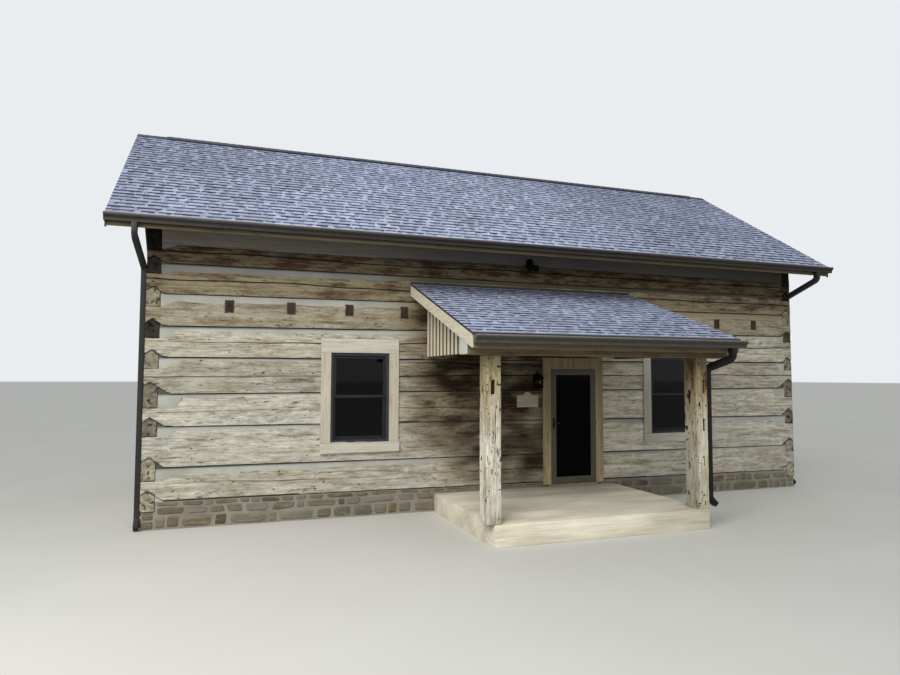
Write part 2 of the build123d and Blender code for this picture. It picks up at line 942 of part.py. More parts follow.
# The downspouts stand against the side walls and against the right post
outlet_run = spout_depth / 2 + seat_gap
eave_outlet_y = front_y(fascia_run) - outlet_run
porch_outlet_y = porch_y(porch_fascia_run) - outlet_run
side_stand_off = spout_width / 2 + seat_gap
post_spout_x = from_left(right_post_place) + post_width / 2 + side_stand_off
spouts = [
    downspout(
        (from_left(left_outlet_place), eave_outlet_y, eave_lip_top - gutter_height),
        left_spout_bends,
        (left_corner - side_stand_off, front_y(wall_spout_run)),
        0,
        (0, -spout_kick),
    ),
    downspout(
        (right_corner + side_stand_off, eave_outlet_y, eave_lip_top - gutter_height),
        right_spout_bends,
        (right_corner + side_stand_off, front_y(hidden_spout_run)),
        0,
        (spout_kick, 0),
    ),
    downspout(
        (porch_right - porch_outlet_inset, porch_outlet_y, porch_lip_top - gutter_height),
        porch_spout_bends,
        (post_spout_x, post_front + spout_depth / 2),
        slab_height,
        (spout_kick, 0),
    ),
]
save_group("downspouts", solids_of(spouts))

# The door casing: a lining through the wall, and flat boards on its face
front_elevation = Plane(origin=(left_corner, front_face, 0), x_dir=(1, 0, 0), z_dir=(0, -1, 0))
back_elevation = Plane(origin=(right_corner, back_face, 0), x_dir=(-1, 0, 0), z_dir=(0, 1, 0))
leaf_left = door_place - door_width / 2
leaf_right = door_place + door_width / 2
leaf_top = floor_top + door_height
opening_left = leaf_left - door_gap
opening_right = leaf_right + door_gap
opening_top = leaf_top + door_gap


def rectangle(left, right, bottom, top, mode=Mode.ADD):
    """A rectangle given by its sides."""
    with Locations(((left + right) / 2, (bottom + top) / 2)):
        Rectangle(right - left, top - bottom, mode=mode)


hinge_axis_place = leaf_right + door_gap / 2
hinge_axis_out = hinge_radius + seat_gap
hinge_plane = front_elevation.offset(casing_thickness)


def hinge_halves(side, base):
    """One half of each hinge: a plate to one side of the axis, and a knuckle on the axis."""
    for height in hinge_heights:
        foot = floor_top + height + base
        near = hinge_axis_place + side * (door_gap / 2 + hinge_split)
        far = near + side * hinge_length / 2
        with BuildSketch(hinge_plane) as plate:
            rectangle(min(near, far), max(near, far), foot, foot + hinge_length / 2 - hinge_split)
        extrude(plate.sketch, amount=hinge_plate)
        with BuildSketch(Plane.XY.offset(foot)) as knuckle:
            with Locations((from_left(hinge_axis_place), front_face - casing_thickness - hinge_axis_out)):
                Circle(hinge_radius)
        extrude(knuckle.sketch, amount=hinge_length / 2 - hinge_split)


with BuildPart() as door_casing:
    with BuildSketch(front_elevation):
        rectangle(door_left, door_right, floor_top, door_top)
        rectangle(opening_left, opening_right, floor_top, opening_top, mode=Mode.SUBTRACT)
    extrude(amount=-log_width)
    with BuildSketch(front_elevation):
        rectangle(
            opening_left - door_casing_width,
            opening_right + door_casing_width,
            floor_top,
            opening_top + door_head_height,
        )
        rectangle(opening_left, opening_right, floor_top, opening_top, mode=Mode.SUBTRACT)
    extrude(amount=casing_thickness)
    with BuildSketch(front_elevation.offset(casing_thickness - door_thickness - door_gap)):
        rectangle(opening_left, opening_right, floor_top, opening_top)
        rectangle(
            opening_left + door_stop,
            opening_right - door_stop,
            floor_top,
            opening_top - door_stop,
            mode=Mode.SUBTRACT,
        )
    extrude(amount=-door_stop)
    hinge_halves(1, 0)
save("door_casing", door_casing.part)

with BuildPart() as door_threshold:
    with BuildSketch(front_elevation):
        rectangle(door_left, door_right, slab_height, floor_top)
    extrude(amount=-log_width)
save("door_threshold", door_threshold.part)

# The storm door stands in the casing and swings out on the right
leaf_bottom = floor_top + door_gap
glass_left = leaf_left + door_stile
glass_right = leaf_right - door_stile
glass_bottom = leaf_bottom + door_bottom_rail
glass_top = leaf_top - door_top_rail
leaf_plane = front_elevation.offset(casing_thickness - door_thickness)

with BuildPart() as storm_door_frame:
    with BuildSketch(leaf_plane):
        rectangle(leaf_left, leaf_right, leaf_bottom, leaf_top)
        rectangle(glass_left, glass_right, glass_bottom, glass_top, mode=Mode.SUBTRACT)
    extrude(amount=door_thickness)
    hinge_halves(-1, hinge_length / 2)
save("storm_door_frame", storm_door_frame.part)

with BuildPart() as storm_door_glass:
    with BuildSketch(leaf_plane.offset(door_thickness / 2)):
        rectangle(glass_left, glass_right, glass_bottom, glass_top)
    extrude(amount=pane_thickness / 2, both=True)
save("storm_door_glass", storm_door_glass.part)

handle_x = leaf_left + door_stile / 2
handle_face = front_elevation.offset(casing_thickness)
with BuildPart() as storm_door_handle:
    with BuildSketch(handle_face):
        with Locations((handle_x, floor_top + handle_height)):
            RectangleRounded(handle_plate_width, handle_plate_height, handle_plate_width / 3)
    extrude(amount=handle_plate_thickness)
    with BuildSketch(handle_face):
        with Locations((handle_x, floor_top + handle_height)):
            Circle(handle_shaft_radius)
    extrude(amount=handle_reach)
    with BuildSketch(handle_face.offset(handle_reach)):
        with Locations((handle_x + lever_length / 2 - lever_height / 2, floor_top + handle_height)):
            SlotOverall(lever_length, lever_height)
    extrude(amount=lever_thickness)
save("storm_door_handle", storm_door_handle.part)

# The windows: a casing on the wall's face, a frame in the wall, two sashes and their glass
sash_left = -window_width / 2 + window_frame_width
sash_right = window_width / 2 - window_frame_width
sash_bottom = window_bottom + window_frame_width
sash_top = window_top - window_frame_width
meeting_height = window_bottom + meeting_rail_height
casings, frames, sashes, panes = [], [], [], []


def ring(left, right, bottom, top, width):
    """A rectangular ring of one width."""
    rectangle(left, right, bottom, top)
    rectangle(left + width, right - width, bottom + width, top - width, mode=Mode.SUBTRACT)


for elevation in (front_elevation, back_elevation):
    for place in window_places if elevation is front_elevation else [wall_length - w for w in window_places]:
        here = elevation.shift_origin(elevation.from_local_coords(Vector(place, 0, 0)))
        half_width = window_width / 2
        with BuildPart() as casing:
            with BuildSketch(here):
                rectangle(
                    -half_width - window_casing_width,
                    half_width + window_casing_width,
                    window_bottom,
                    window_top + window_head_height,
                )
                rectangle(-half_width, half_width, window_bottom, window_top, mode=Mode.SUBTRACT)
            extrude(amount=casing_thickness)
            with BuildSketch(here):
                rectangle(
                    -half_width - window_casing_width - window_sill_overlap,
                    half_width + window_casing_width + window_sill_overlap,
                    window_bottom - window_sill_depth,
                    window_bottom,
                )
            extrude(amount=window_sill_out)
        casings.append(casing.part)
        with BuildPart() as frame:
            with BuildSketch(here):
                ring(-half_width, half_width, window_bottom, window_top, window_frame_width)
            extrude(amount=-window_frame_depth)
        frames.append(frame.part)
        with BuildPart() as upper_sash:
            with BuildSketch(here.offset(-casing_thickness)):
                ring(sash_left, sash_right, meeting_height - sash_width / 2, sash_top, sash_width)
            extrude(amount=-sash_thickness)
        with BuildPart() as lower_sash:
            with BuildSketch(here.offset(-casing_thickness - sash_thickness - sash_gap)):
                ring(sash_left, sash_right, sash_bottom, meeting_height + sash_width / 2, sash_width)
            extrude(amount=-sash_thickness)
        sashes += [upper_sash.part, lower_sash.part]
        with BuildPart() as upper_pane:
            with BuildSketch(here.offset(-casing_thickness - sash_thickness / 2)):
                rectangle(
                    sash_left + sash_width,
                    sash_right - sash_width,
                    meeting_height + sash_width / 2,
                    sash_top - sash_width,
                )
            extrude(amount=pane_thickness / 2, both=True)
        with BuildPart() as lower_pane:
            with BuildSketch(here.offset(-casing_thickness - sash_thickness * 1.5 - sash_gap)):
                rectangle(
                    sash_left + sash_width,
                    sash_right - sash_width,
                    sash_bottom + sash_width,
                    meeting_height - sash_width / 2,
                )
            extrude(amount=pane_thickness / 2, both=True)
        panes += [upper_pane.part, lower_pane.part]

save_group("window_casings", solids_of(casings))
save_group("window_frames", solids_of(frames))
save_group("window_sashes", solids_of(sashes))
save_group("window_glass", solids_of(panes))

# The lantern: a plate on the wall, a bent arm, and a caged body under a roof
lantern_x = from_left(lantern_place)
lantern_y = porch_y(lantern_out)
lantern_bottom = slab_height + lantern_foot
lantern_eave = lantern_bottom + lantern_body_height
lantern_top = lantern_eave + lantern_roof_height
lantern_centre = (lantern_x, lantern_y)
bar_spacing = lantern_width - lantern_bar

with BuildPart() as wall_lantern:
    with BuildSketch(front_elevation):
        with Locations((lantern_place, lantern_eave)):
            RectangleRounded(lantern_plate_width, lantern_plate_height, lantern_plate_width / 4)
    extrude(amount=lantern_plate)
    with BuildSketch(Plane.XY.offset(lantern_bottom)):
        with Locations(lantern_centre):
            Rectangle(lantern_width, lantern_width)
    extrude(amount=lantern_base)
    with BuildSketch(Plane.XY.offset(lantern_bottom)):
        with Locations(lantern_centre):
            with GridLocations(bar_spacing, bar_spacing, 2, 2):
                Rectangle(lantern_bar, lantern_bar)
    extrude(amount=lantern_body_height)
    with BuildSketch(Plane.XY.offset(lantern_eave)):
        with Locations(lantern_centre):
            Rectangle(lantern_roof_width, lantern_roof_width)
    with BuildSketch(Plane.XY.offset(lantern_top)):
        with Locations(lantern_centre):
            Rectangle(lantern_roof_width / 4, lantern_roof_width / 4)
    loft()
    with Locations((*lantern_centre, lantern_top + lantern_finial / 2)):
        Sphere(lantern_finial)
    with BuildLine() as arm:
        Spline(
            (lantern_x, front_face - lantern_plate, lantern_eave),
            (lantern_x, porch_y(lantern_out / 2), lantern_top + lantern_roof_height / 2),
            (lantern_x, lantern_y, lantern_top),
            tangents=[(0, -1, 0), (0, 0, -1)],
        )
    with BuildSketch(Plane(origin=arm.line @ 0, z_dir=arm.line % 0)) as arm_section:
        Circle(lantern_arm_radius)
    sweep(arm_section.sketch, path=arm.line)
save("wall_lantern", wall_lantern.part)

# The flood light: two heads that point down and apart from one plate
flood_x = from_left(flood_place)
flood_z = slab_height + flood_height
with BuildPart() as flood_light:
    with BuildSketch(front_elevation):
        with Locations((flood_place, flood_z)):
            Circle(flood_plate_radius)
    extrude(amount=flood_plate)
    for side in (-1, 1):
        head = Location(
            (flood_x + side * flood_spread, porch_y(flood_out), flood_z - flood_drop),
            (90 + flood_tilt, 0, side * flood_turn),
        )
        with Locations(head):
            Cone(flood_neck_radius, flood_head_radius, flood_head_length)
        with BuildLine() as neck:
            Line((flood_x, front_face - flood_plate / 2, flood_z), head.position)
        with BuildSketch(Plane(origin=neck.line @ 0, z_dir=neck.line % 0)) as neck_section:
            Circle(flood_knuckle_radius)
        sweep(neck_section.sketch, path=neck.line)
save("flood_light", flood_light.part)

# The plaque: a board with a hump in the middle of its top edge
plaque_bottom = slab_height + plaque_foot
plaque_top = plaque_bottom + plaque_height
hump = plaque_hump_width / 2
with BuildPart() as plaque:
    with BuildSketch(front_elevation.shift_origin(front_elevation.from_local_coords(Vector(plaque_place, 0)))):
        with BuildLine():
            Polyline(
                (-hump, plaque_top),
                (-plaque_width / 2, plaque_top),
                (-plaque_width / 2, plaque_bottom),
                (plaque_width / 2, plaque_bottom),
                (plaque_width / 2, plaque_top),
                (hump, plaque_top),
            )
            ThreePointArc((-hump, plaque_top), (0, plaque_top + plaque_hump_height), (hump, plaque_top))
        make_face()
    extrude(amount=plaque_thickness)
save("plaque", plaque.part)
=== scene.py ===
"""The looks of the log cabin: weathered logs, mortar, field stone, shingles, metal and glass.

Metres. X runs along the front wall to the right, Y runs into the building and Z is up.
"""

import random
from math import pi, radians

import bmesh
import bpy
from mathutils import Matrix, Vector, noise


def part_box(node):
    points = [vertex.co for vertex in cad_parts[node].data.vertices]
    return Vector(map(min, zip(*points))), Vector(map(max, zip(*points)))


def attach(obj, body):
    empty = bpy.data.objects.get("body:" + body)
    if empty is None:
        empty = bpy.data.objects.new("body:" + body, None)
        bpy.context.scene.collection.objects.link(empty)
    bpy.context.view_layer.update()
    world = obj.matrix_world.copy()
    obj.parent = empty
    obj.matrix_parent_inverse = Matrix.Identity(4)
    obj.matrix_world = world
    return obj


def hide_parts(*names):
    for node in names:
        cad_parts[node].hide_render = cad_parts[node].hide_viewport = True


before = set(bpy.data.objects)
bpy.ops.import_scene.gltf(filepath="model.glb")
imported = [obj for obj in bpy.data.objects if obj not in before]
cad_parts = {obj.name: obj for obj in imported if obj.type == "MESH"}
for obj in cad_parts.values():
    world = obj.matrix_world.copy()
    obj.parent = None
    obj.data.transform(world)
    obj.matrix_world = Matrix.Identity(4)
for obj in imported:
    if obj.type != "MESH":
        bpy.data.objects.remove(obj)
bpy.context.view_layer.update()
chance = random.Random(7)

# Sizes and directions that several sections share
weld = 0.0001
flat_angle = radians(1)
sharp_angle = radians(32)
front_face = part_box("wall_plates")[0].y
back_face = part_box("wall_plates")[1].y
left_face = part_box("gable_walls")[0].x
right_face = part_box("gable_walls")[1].x
porch_low, porch_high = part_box("porch_roof")
x_axis, y_axis, z_axis = 0, 1, 2
to_right, inward, upward = Vector((1, 0, 0)), Vector((0, 1, 0)), Vector((0, 0, 1))
directions = (to_right, inward, upward)


# Meshes are made as shapes. A shape is a list of points and a list of faces.
def cad_points(node):
    """The points of a CAD node's mesh."""
    return [vert.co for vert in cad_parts[node].data.vertices]


def solids(node):
    """The separate solids of a CAD node, each as a mesh whose flat faces are whole."""
    whole = bmesh.new()
    whole.from_mesh(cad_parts[node].data)
    bmesh.ops.remove_doubles(whole, verts=whole.verts, dist=weld)
    bmesh.ops.dissolve_limit(whole, angle_limit=flat_angle, verts=whole.verts, edges=whole.edges)
    seen = set()
    found = []
    for first in whole.faces:
        if first in seen:
            continue
        seen.add(first)
        group = [first]
        for face in group:
            for edge in face.edges:
                for neighbour in edge.link_faces:
                    if neighbour not in seen:
                        seen.add(neighbour)
                        group.append(neighbour)
        solid = bmesh.new()
        copies = {}
        for face in group:
            for vert in face.verts:
                if vert not in copies:
                    copies[vert] = solid.verts.new(vert.co)
            solid.faces.new([copies[vert] for vert in face.verts])
        found.append(solid)
    whole.free()
    return found


def extent(mesh):
    """The lowest and the highest corner of a mesh."""
    low = Vector([min(vert.co[axis] for vert in mesh.verts) for axis in range(3)])
    high = Vector([max(vert.co[axis] for vert in mesh.verts) for axis in range(3)])
    return low, high


def slice_up(mesh, direction, places):
    """Cut a mesh by planes square to a direction, at distances from the origin."""
    for place in places:
        everything = mesh.verts[:] + mesh.edges[:] + mesh.faces[:]
        bmesh.ops.bisect_plane(
            mesh, geom=everything, dist=weld / 10, plane_co=direction * place, plane_no=direction
        )


def slice_levels(mesh, axis, slope, levels):
    """Cut a mesh at heights that rise along an axis by a slope."""
    across = upward - directions[axis] * slope
    size = across.length
    slice_up(mesh, across / size, [level / size for level in levels])


def even_places(low, high, step):
    """Places between two ends, about a step apart, without the ends."""
    count = max(1, round((high - low) / step))
    return [low + (high - low) * number / count for number in range(1, count)]


def bevel(mesh, width, segments=1):
    """Round the outward edges of a mesh."""
    mesh.normal_update()
    edges = [
        edge
        for edge in mesh.edges
        if edge.is_manifold and edge.is_convex and edge.calc_face_angle() > sharp_angle
    ]
    bmesh.ops.bevel(
        mesh, geom=edges, offset=width, segments=segments, profile=0.6, affect="EDGES", clamp_overlap=True
    )


def taken(mesh):
    """The shape of a mesh, which is freed."""
    mesh.verts.index_update()
    points = [vert.co.copy() for vert in mesh.verts]
    faces = [[vert.index for vert in face.verts] for face in mesh.faces]
    mesh.free()
    return points, faces


def top_points(mesh):
    """The highest point over each place of a mesh."""
    highest = {}
    for vert in mesh.verts:
        place = (round(vert.co.x, 3), round(vert.co.y, 3))
        if place not in highest or vert.co.z > highest[place].co.z:
            highest[place] = vert
    return list(highest.values())


def block(corners):
    """A shape with six sides from eight corners: four below and four above, each in turn."""
    faces = [[3, 2, 1, 0], [4, 5, 6, 7], [0, 1, 5, 4], [1, 2, 6, 5], [2, 3, 7, 6], [3, 0, 4, 7]]
    return [Vector(corner) for corner in corners], faces


def turned(shape):
    """A shape whose faces look the other way."""
    points, faces = shape
    return points, [face[::-1] for face in faces]


def board(low, high, edge=0.003):
    """A box between two corners, with rounded edges."""
    below = [(low[0], low[1]), (high[0], low[1]), (high[0], high[1]), (low[0], high[1])]
    points, faces = block([(x, y, z) for z in (low[2], high[2]) for x, y in below])
    mesh = bmesh.new()
    verts = [mesh.verts.new(point) for point in points]
    for face in faces:
        mesh.faces.new([verts[index] for index in face])
    bevel(mesh, edge)
    return taken(mesh)


def link(name, data):
    """Put an object with its data in the scene."""
    thing = bpy.data.objects.new(name, data)
    bpy.context.scene.collection.objects.link(thing)
    return thing


def show(name, shapes, finish, replaces=(), body="cabin", tones=None, seams=None):
    """Make one object of some shapes, which move with a body and stand for CAD nodes.

    Each point keeps four things for the finish: the heart of its shape, which is its middle, the
    lot of its shape, which is a random number, a tone of three values, and its seam,
    which goes from 0 to 1; it darkens cracks and holes, and it holds painted shade. tones is a
    function of a shape's number and a point, and seams has a list of values for each shape.
    """
    points, faces, hearts, tone_values, lots = [], [], [], [], []
    for number, (own_points, own_faces) in enumerate(shapes):
        start = len(points)
        low = [min(point[axis] for point in own_points) for axis in range(3)]
        high = [max(point[axis] for point in own_points) for axis in range(3)]
        heart = [(a + b) / 2 for a, b in zip(low, high)]
        lot = chance.random()
        for point in own_points:
            points.append(point)
            hearts += heart
            lots.append(lot)
            tone_values += tones(number, point) if tones else (0, 0, 0)
        faces += [[index + start for index in face] for face in own_faces]
    mesh = bpy.data.meshes.new(name)
    mesh.from_pydata(points, [], faces)
    for label, values in (("heart", hearts), ("tone", tone_values)):
        mesh.attributes.new(label, "FLOAT_VECTOR", "POINT").data.foreach_set("vector", values)
    seam_and_shade_values = [value for rows in seams or () for value in rows]
    for label, values in (("lot", lots), ("seam", seam_and_shade_values)):
        if values:
            mesh.attributes.new(label, "FLOAT", "POINT").data.foreach_set("value", values)
    mesh.polygons.foreach_set("use_smooth", [True] * len(mesh.polygons))
    mesh.set_sharp_from_angle(angle=sharp_angle)
    mesh.materials.append(finish)
    thing = link(name, mesh)
    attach(thing, body)
    if replaces:
        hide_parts(*replaces)


def dress(node, finish, edge=0.003, body="cabin", segments=1, tones=None):
    """Show a CAD node with its edges rounded."""
    shapes = []
    for solid in solids(node):
        bevel(solid, edge, segments)
        shapes.append(taken(solid))
    show(node + "_shown", shapes, finish, (node,), body, tones)


# Ways to vary a shape or a tone from place to place
def smooth_step(value, low, high):
    """Go smoothly from 0 to 1 while a value goes from low to high."""
    share = min(1, max(0, (value - low) / (high - low)))
    return share * share * (3 - 2 * share)


def read_at(place, places, values):
    """A value at a place, between the values that are given for some places."""
    if place <= places[0]:
        return values[0]
    for first in range(len(places) - 1):
        if place <= places[first + 1]:
            share = (place - places[first]) / (places[first + 1] - places[first])
            return values[first] + share * (values[first + 1] - values[first])
    return values[-1]


def grain_scales(axis, along, across):
    """Texture scales that run slowly along the grain and quickly across it."""
    return [along if number == axis else across for number in range(3)]


def noise_at(*spot):
    """A smooth noise between about -1 and 1."""
    return noise.noise(Vector(spot))


def grain_at(spot, axis, along, across):
    """A smooth noise whose grain runs along an axis."""
    return noise_at(*[a * b for a, b in zip(spot, grain_scales(axis, along, across))])


# Materials and the world are built from nodes. Textures are laid out in metres on the object's
# own coordinates.
lot_distance = 37
rings_by_distance = 330
glass_ior = 1.5


class Nodes:
    """Short ways to add nodes to a tree. Colors are three values."""

    def __init__(self, tree):
        self.tree = tree

    def fill(self, node, inputs):
        """Set or join the inputs of a node."""
        for label, value in inputs.items():
            socket = node.inputs[label]
            if isinstance(value, bpy.types.NodeSocket):
                self.tree.links.new(value, socket)
            else:
                socket.default_value = (*value, 1) if socket.type == "RGBA" else value

    def put(self, kind, inputs, **settings):
        """Add a node, set or join its inputs and return its outputs."""
        node = self.tree.nodes.new(kind)
        for label, value in settings.items():
            setattr(node, label, value)
        self.fill(node, inputs)
        return node.outputs

    def math(self, operation, first, second=0.5):
        return self.put("ShaderNodeMath", {0: first, 1: second}, operation=operation)["Value"]

    def most(self, values):
        """The largest of some values."""
        largest = values[0]
        for value in values[1:]:
            largest = self.math("MAXIMUM", largest, value)
        return largest


class Finish(Nodes):
    """A material with a grain along an axis.

    spot is the place on the object, and here is that place moved by a distance of its own for
    each shape.
    """

    def __init__(self, name, axis=z_axis):
        self.material = bpy.data.materials.new(name)
        self.material.use_nodes = True
        super().__init__(self.material.node_tree)
        self.surface = self.tree.nodes["Principled BSDF"]
        self.axis = axis
        self.lot = self.attribute("lot")
        self.seam = self.attribute("seam")
        self.tone = self.put("ShaderNodeSeparateXYZ", {0: self.attribute("tone", "Vector")})
        self.spot = self.put("ShaderNodeTexCoord", {})["Object"]
        self.here = self.vector("ADD", self.spot, self.math("MULTIPLY", self.lot, lot_distance))

    def attribute(self, label, output="Fac"):
        return self.put("ShaderNodeAttribute", {}, attribute_name=label)[output]

    def vector(self, operation, first, second):
        return self.put("ShaderNodeVectorMath", {0: first, 1: second}, operation=operation)["Vector"]

    def level(self, value, low, high, start=0, end=1):
        """Map a range of values to another one, and hold it there."""
        inputs = {"Value": value, "From Min": low, "From Max": high, "To Min": start, "To Max": end}
        return self.put("ShaderNodeMapRange", inputs)["Result"]

    def noise(self, vector, scale=1, detail=4, roughness=0.55):
        inputs = {"Vector": vector, "Scale": scale, "Detail": detail, "Roughness": roughness}
        return self.put("ShaderNodeTexNoise", inputs)["Fac"]

    def grain(self, along, across, detail=4, roughness=0.55):
        """A noise drawn out along the grain."""
        stretched = self.vector("MULTIPLY", self.here, grain_scales(self.axis, along, across))
        return self.noise(stretched, 1, detail, roughness)

    def checks(self, width, lowest, strength):
        """Drying checks: thin lines where a noise crosses its middle, in some places only."""
        away = self.math("ABSOLUTE", self.math("SUBTRACT", self.grain(0.4, 13, 2, 0.4), 0.5))
        lines = self.level(away, 0, width, 1, 0)
        return self.math("MULTIPLY", lines, self.level(self.grain(0.9, 4, 1), lowest, 0.6, 0, strength))

    def mix(self, share, first, second, blend="MIX"):
        inputs = {"Fac": share, "Color1": first, "Color2": second}
        return self.put("ShaderNodeMixRGB", inputs, blend_type=blend)["Color"]

    def shade(self, base, value):
        """Darken or lighten a color by a value."""
        grey = self.put("ShaderNodeCombineColor", {0: value, 1: value, 2: value})["Color"]
        return self.mix(1, base, grey, "MULTIPLY")

    def vary(self, base, value, darkest, lightest):
        """Shade a color by a noise, most of which lies between 0.3 and 0.7."""
        return self.shade(base, self.level(value, 0.3, 0.7, darkest, lightest))

    def lighten(self, base, share):
        """Make a color lighter by a share, or darker if it is negative."""
        return self.shade(base, self.math("ADD", share, 1))

    def darken_by_painted_shade(self, base):
        """Darken a color by its seam, which is painted shade here."""
        return self.shade(base, self.math("SUBTRACT", 1, self.seam))

    def relief(self, *parts):
        """The normal of a surface that some values from 0 to 1 raise, each by its height."""
        rises = [self.level(value, 0, 1, 0, height) for value, height in parts]
        total = rises[0]
        for rise in rises[1:]:
            total = self.math("ADD", total, rise)
        return self.put("ShaderNodeBump", {"Height": total, "Distance": 1, "Strength": 1})["Normal"]

    def end(self, base, roughness, normal=None, metallic=0, specular=0.3):
        """Join the finished values to the surface and return the material."""
        values = {"Base Color": base, "Roughness": roughness, "Metallic": metallic}
        values["Specular IOR Level"] = specular
        if normal is not None:
            values["Normal"] = normal
        self.fill(self.surface, values)
        return self.material


black_crack = (0.035, 0.028, 0.022)
rotten_wood = (0.03, 0.026, 0.022)
grey_wood = (0.34, 0.335, 0.305)
white_wood = (0.78, 0.765, 0.69)
aged_wood = (0.105, 0.058, 0.033)
brown_mortar = (0.42, 0.365, 0.235)


def wood(name, axis, colors, checks=1.0, patchy=1.0):
    """Boards of pale wood with brown streaks and dark stains. Their tone Y makes them lighter or
    darker; on the plate and the door's casing it is painted shade.
    """
    pale, brown, dark = colors
    made = Finish(name, axis)
    fibres = made.grain(1.8, 70, 5, 0.65)
    streaks = made.grain(1.3, 16, 6, 0.65)
    stains = made.grain(3, 12, 6, 0.7)
    lines = made.checks(0.006, 0.46, checks)
    base = made.mix(made.level(streaks, 0.40, 0.64, 0, 0.85 * patchy), pale, brown)
    base = made.mix(made.level(stains, 0.54, 0.70, 0, 0.8 * patchy), base, dark)
    base = made.vary(base, fibres, 0.78, 1.12)
    base = made.mix(lines, base, black_crack)
    base = made.lighten(base, made.tone["Y"])
    normal = made.relief((fibres, 0.003), (lines, -0.009), (streaks, 0.008))
    return made.end(base, made.level(fibres, 0.3, 0.7, 0.95, 0.8), normal, specular=0.15)


def end_grain(made, ends):
    """The color of a hewn timber's end: rings round its heart, and rotten spots."""
    away = made.vector("SUBTRACT", made.spot, made.attribute("heart", "Vector"))
    away = made.vector("MULTIPLY", away, grain_scales(made.axis, 0, 1))
    around = made.put("ShaderNodeVectorMath", {0: away}, operation="LENGTH")["Value"]
    around = made.math("ADD", around, made.level(made.noise(made.here, 6), 0, 1, 0, 0.03))
    rings = made.math("SINE", made.math("MULTIPLY", around, rings_by_distance))
    base = made.shade(ends, made.level(rings, -1, 1, 0.75, 1.15))
    base = made.shade(base, made.level(made.noise(made.here, 11, 5, 0.7), 0.36, 0.64, 0.5, 1.35))
    spots = made.level(made.noise(made.here, 15, 3), 0.57, 0.62)
    rotten = made.most([spots, made.level(made.seam, 0.35, 0.7)])
    return made.lighten(made.mix(rotten, base, rotten_wood), made.tone["Z"])


def hewn(name, axis, colors, chips=0.0):
    """Old hewn timber: mottled and flecked, with dark dashes and holes, and rings on its ends.

    Its tone X makes it brown, its tone Y makes its sides lighter or darker and its tone Z its
    ends; on logs and posts, tone Y also carries painted shade. Its seam is black: in
    cracks, holes and mortises, and as painted shade under a log.
    """
    pale, brown, ends = colors
    made = Finish(name, axis)
    mottle = made.grain(1.8, 8, 8, 0.72)
    weather = made.grain(1.1, 4, 6, 0.7)
    flecks = made.grain(6, 21, 6, 0.8)
    fibres = made.grain(3, 90, 4, 0.7)
    rows = made.grain(1.1, 26, 4, 0.6)
    share = made.math("ADD", made.level(mottle, 0.45, 0.66, 0, 0.75), made.tone["X"])
    base = made.mix(made.level(weather, 0.45, 0.62, 0, 0.55), pale, grey_wood)
    base = made.mix(made.level(flecks, 0.52, 0.62, 0, 0.75), base, white_wood)
    base = made.mix(made.level(share, 0.0, 1.25), base, brown)
    base = made.mix(made.level(share, 1.3, 1.9), base, aged_wood)
    base = made.shade(base, made.level(flecks, 0.36, 0.48, 0.66, 1))
    base = made.shade(base, made.level(rows, 0.38, 0.48, 0.72, 1))
    base = made.vary(base, fibres, 0.74, 1.16)
    dashes = made.level(made.grain(5, 34, 5, 0.65), 0.63, 0.69, 0, 0.7)
    holes = made.level(made.grain(11, 24, 2), 0.70, 0.73, 0, 0.9)
    marks = [dashes, holes, made.checks(0.005, 0.50, 0.7), made.level(made.seam, 0.4, 0.75)]
    if chips:
        marks.append(made.level(made.grain(26, 11, 4, 0.6), 0.645, 0.69, 0, chips))
    lines = made.most(marks)
    base = made.lighten(made.mix(lines, base, black_crack), made.tone["Y"])
    facing = made.put("ShaderNodeSeparateXYZ", {0: made.put("ShaderNodeNewGeometry", {})["Normal"]})
    on_end = made.level(made.math("ABSOLUTE", facing[axis]), 0.75, 0.9)
    base = made.mix(on_end, base, end_grain(made, ends))
    normal = made.relief((fibres, 0.003), (lines, -0.010), (mottle, 0.012), (flecks, 0.007))
    return made.end(base, 0.9, normal, specular=0.12)


def mortar(name, pale, dark):
    """Trowelled mortar. Its tone X makes it brown and its seam darkens it as painted shade."""
    made = Finish(name)
    fine = made.noise(made.here, 60, 5, 0.7)
    strokes = made.grain(18, 4, 3)
    base = made.mix(made.level(made.noise(made.here, 1.7, 3), 0.35, 0.68), pale, dark)
    base = made.mix(made.tone["X"], base, brown_mortar)
    base = made.darken_by_painted_shade(made.vary(base, fine, 0.88, 1.08))
    return made.end(base, 0.9, made.relief((fine, 0.002), (strokes, 0.006)), specular=0.2)


def stone(name):
    """Field stone, each one of its own color."""
    made = Finish(name)
    grains = made.noise(made.here, 45, 6, 0.75)
    veins = made.grain(16, 3)
    base = made.mix(made.level(made.lot, 0.1, 0.6), (0.17, 0.135, 0.08), (0.215, 0.20, 0.16))
    base = made.mix(made.level(made.lot, 0.6, 1), base, (0.11, 0.082, 0.05))
    base = made.mix(made.level(veins, 0.48, 0.66, 0, 0.6), base, (0.30, 0.27, 0.21))
    base = made.vary(base, grains, 0.55, 1.2)
    return made.end(base, 0.9, made.relief((grains, 0.006), (veins, 0.008)), specular=0.2)


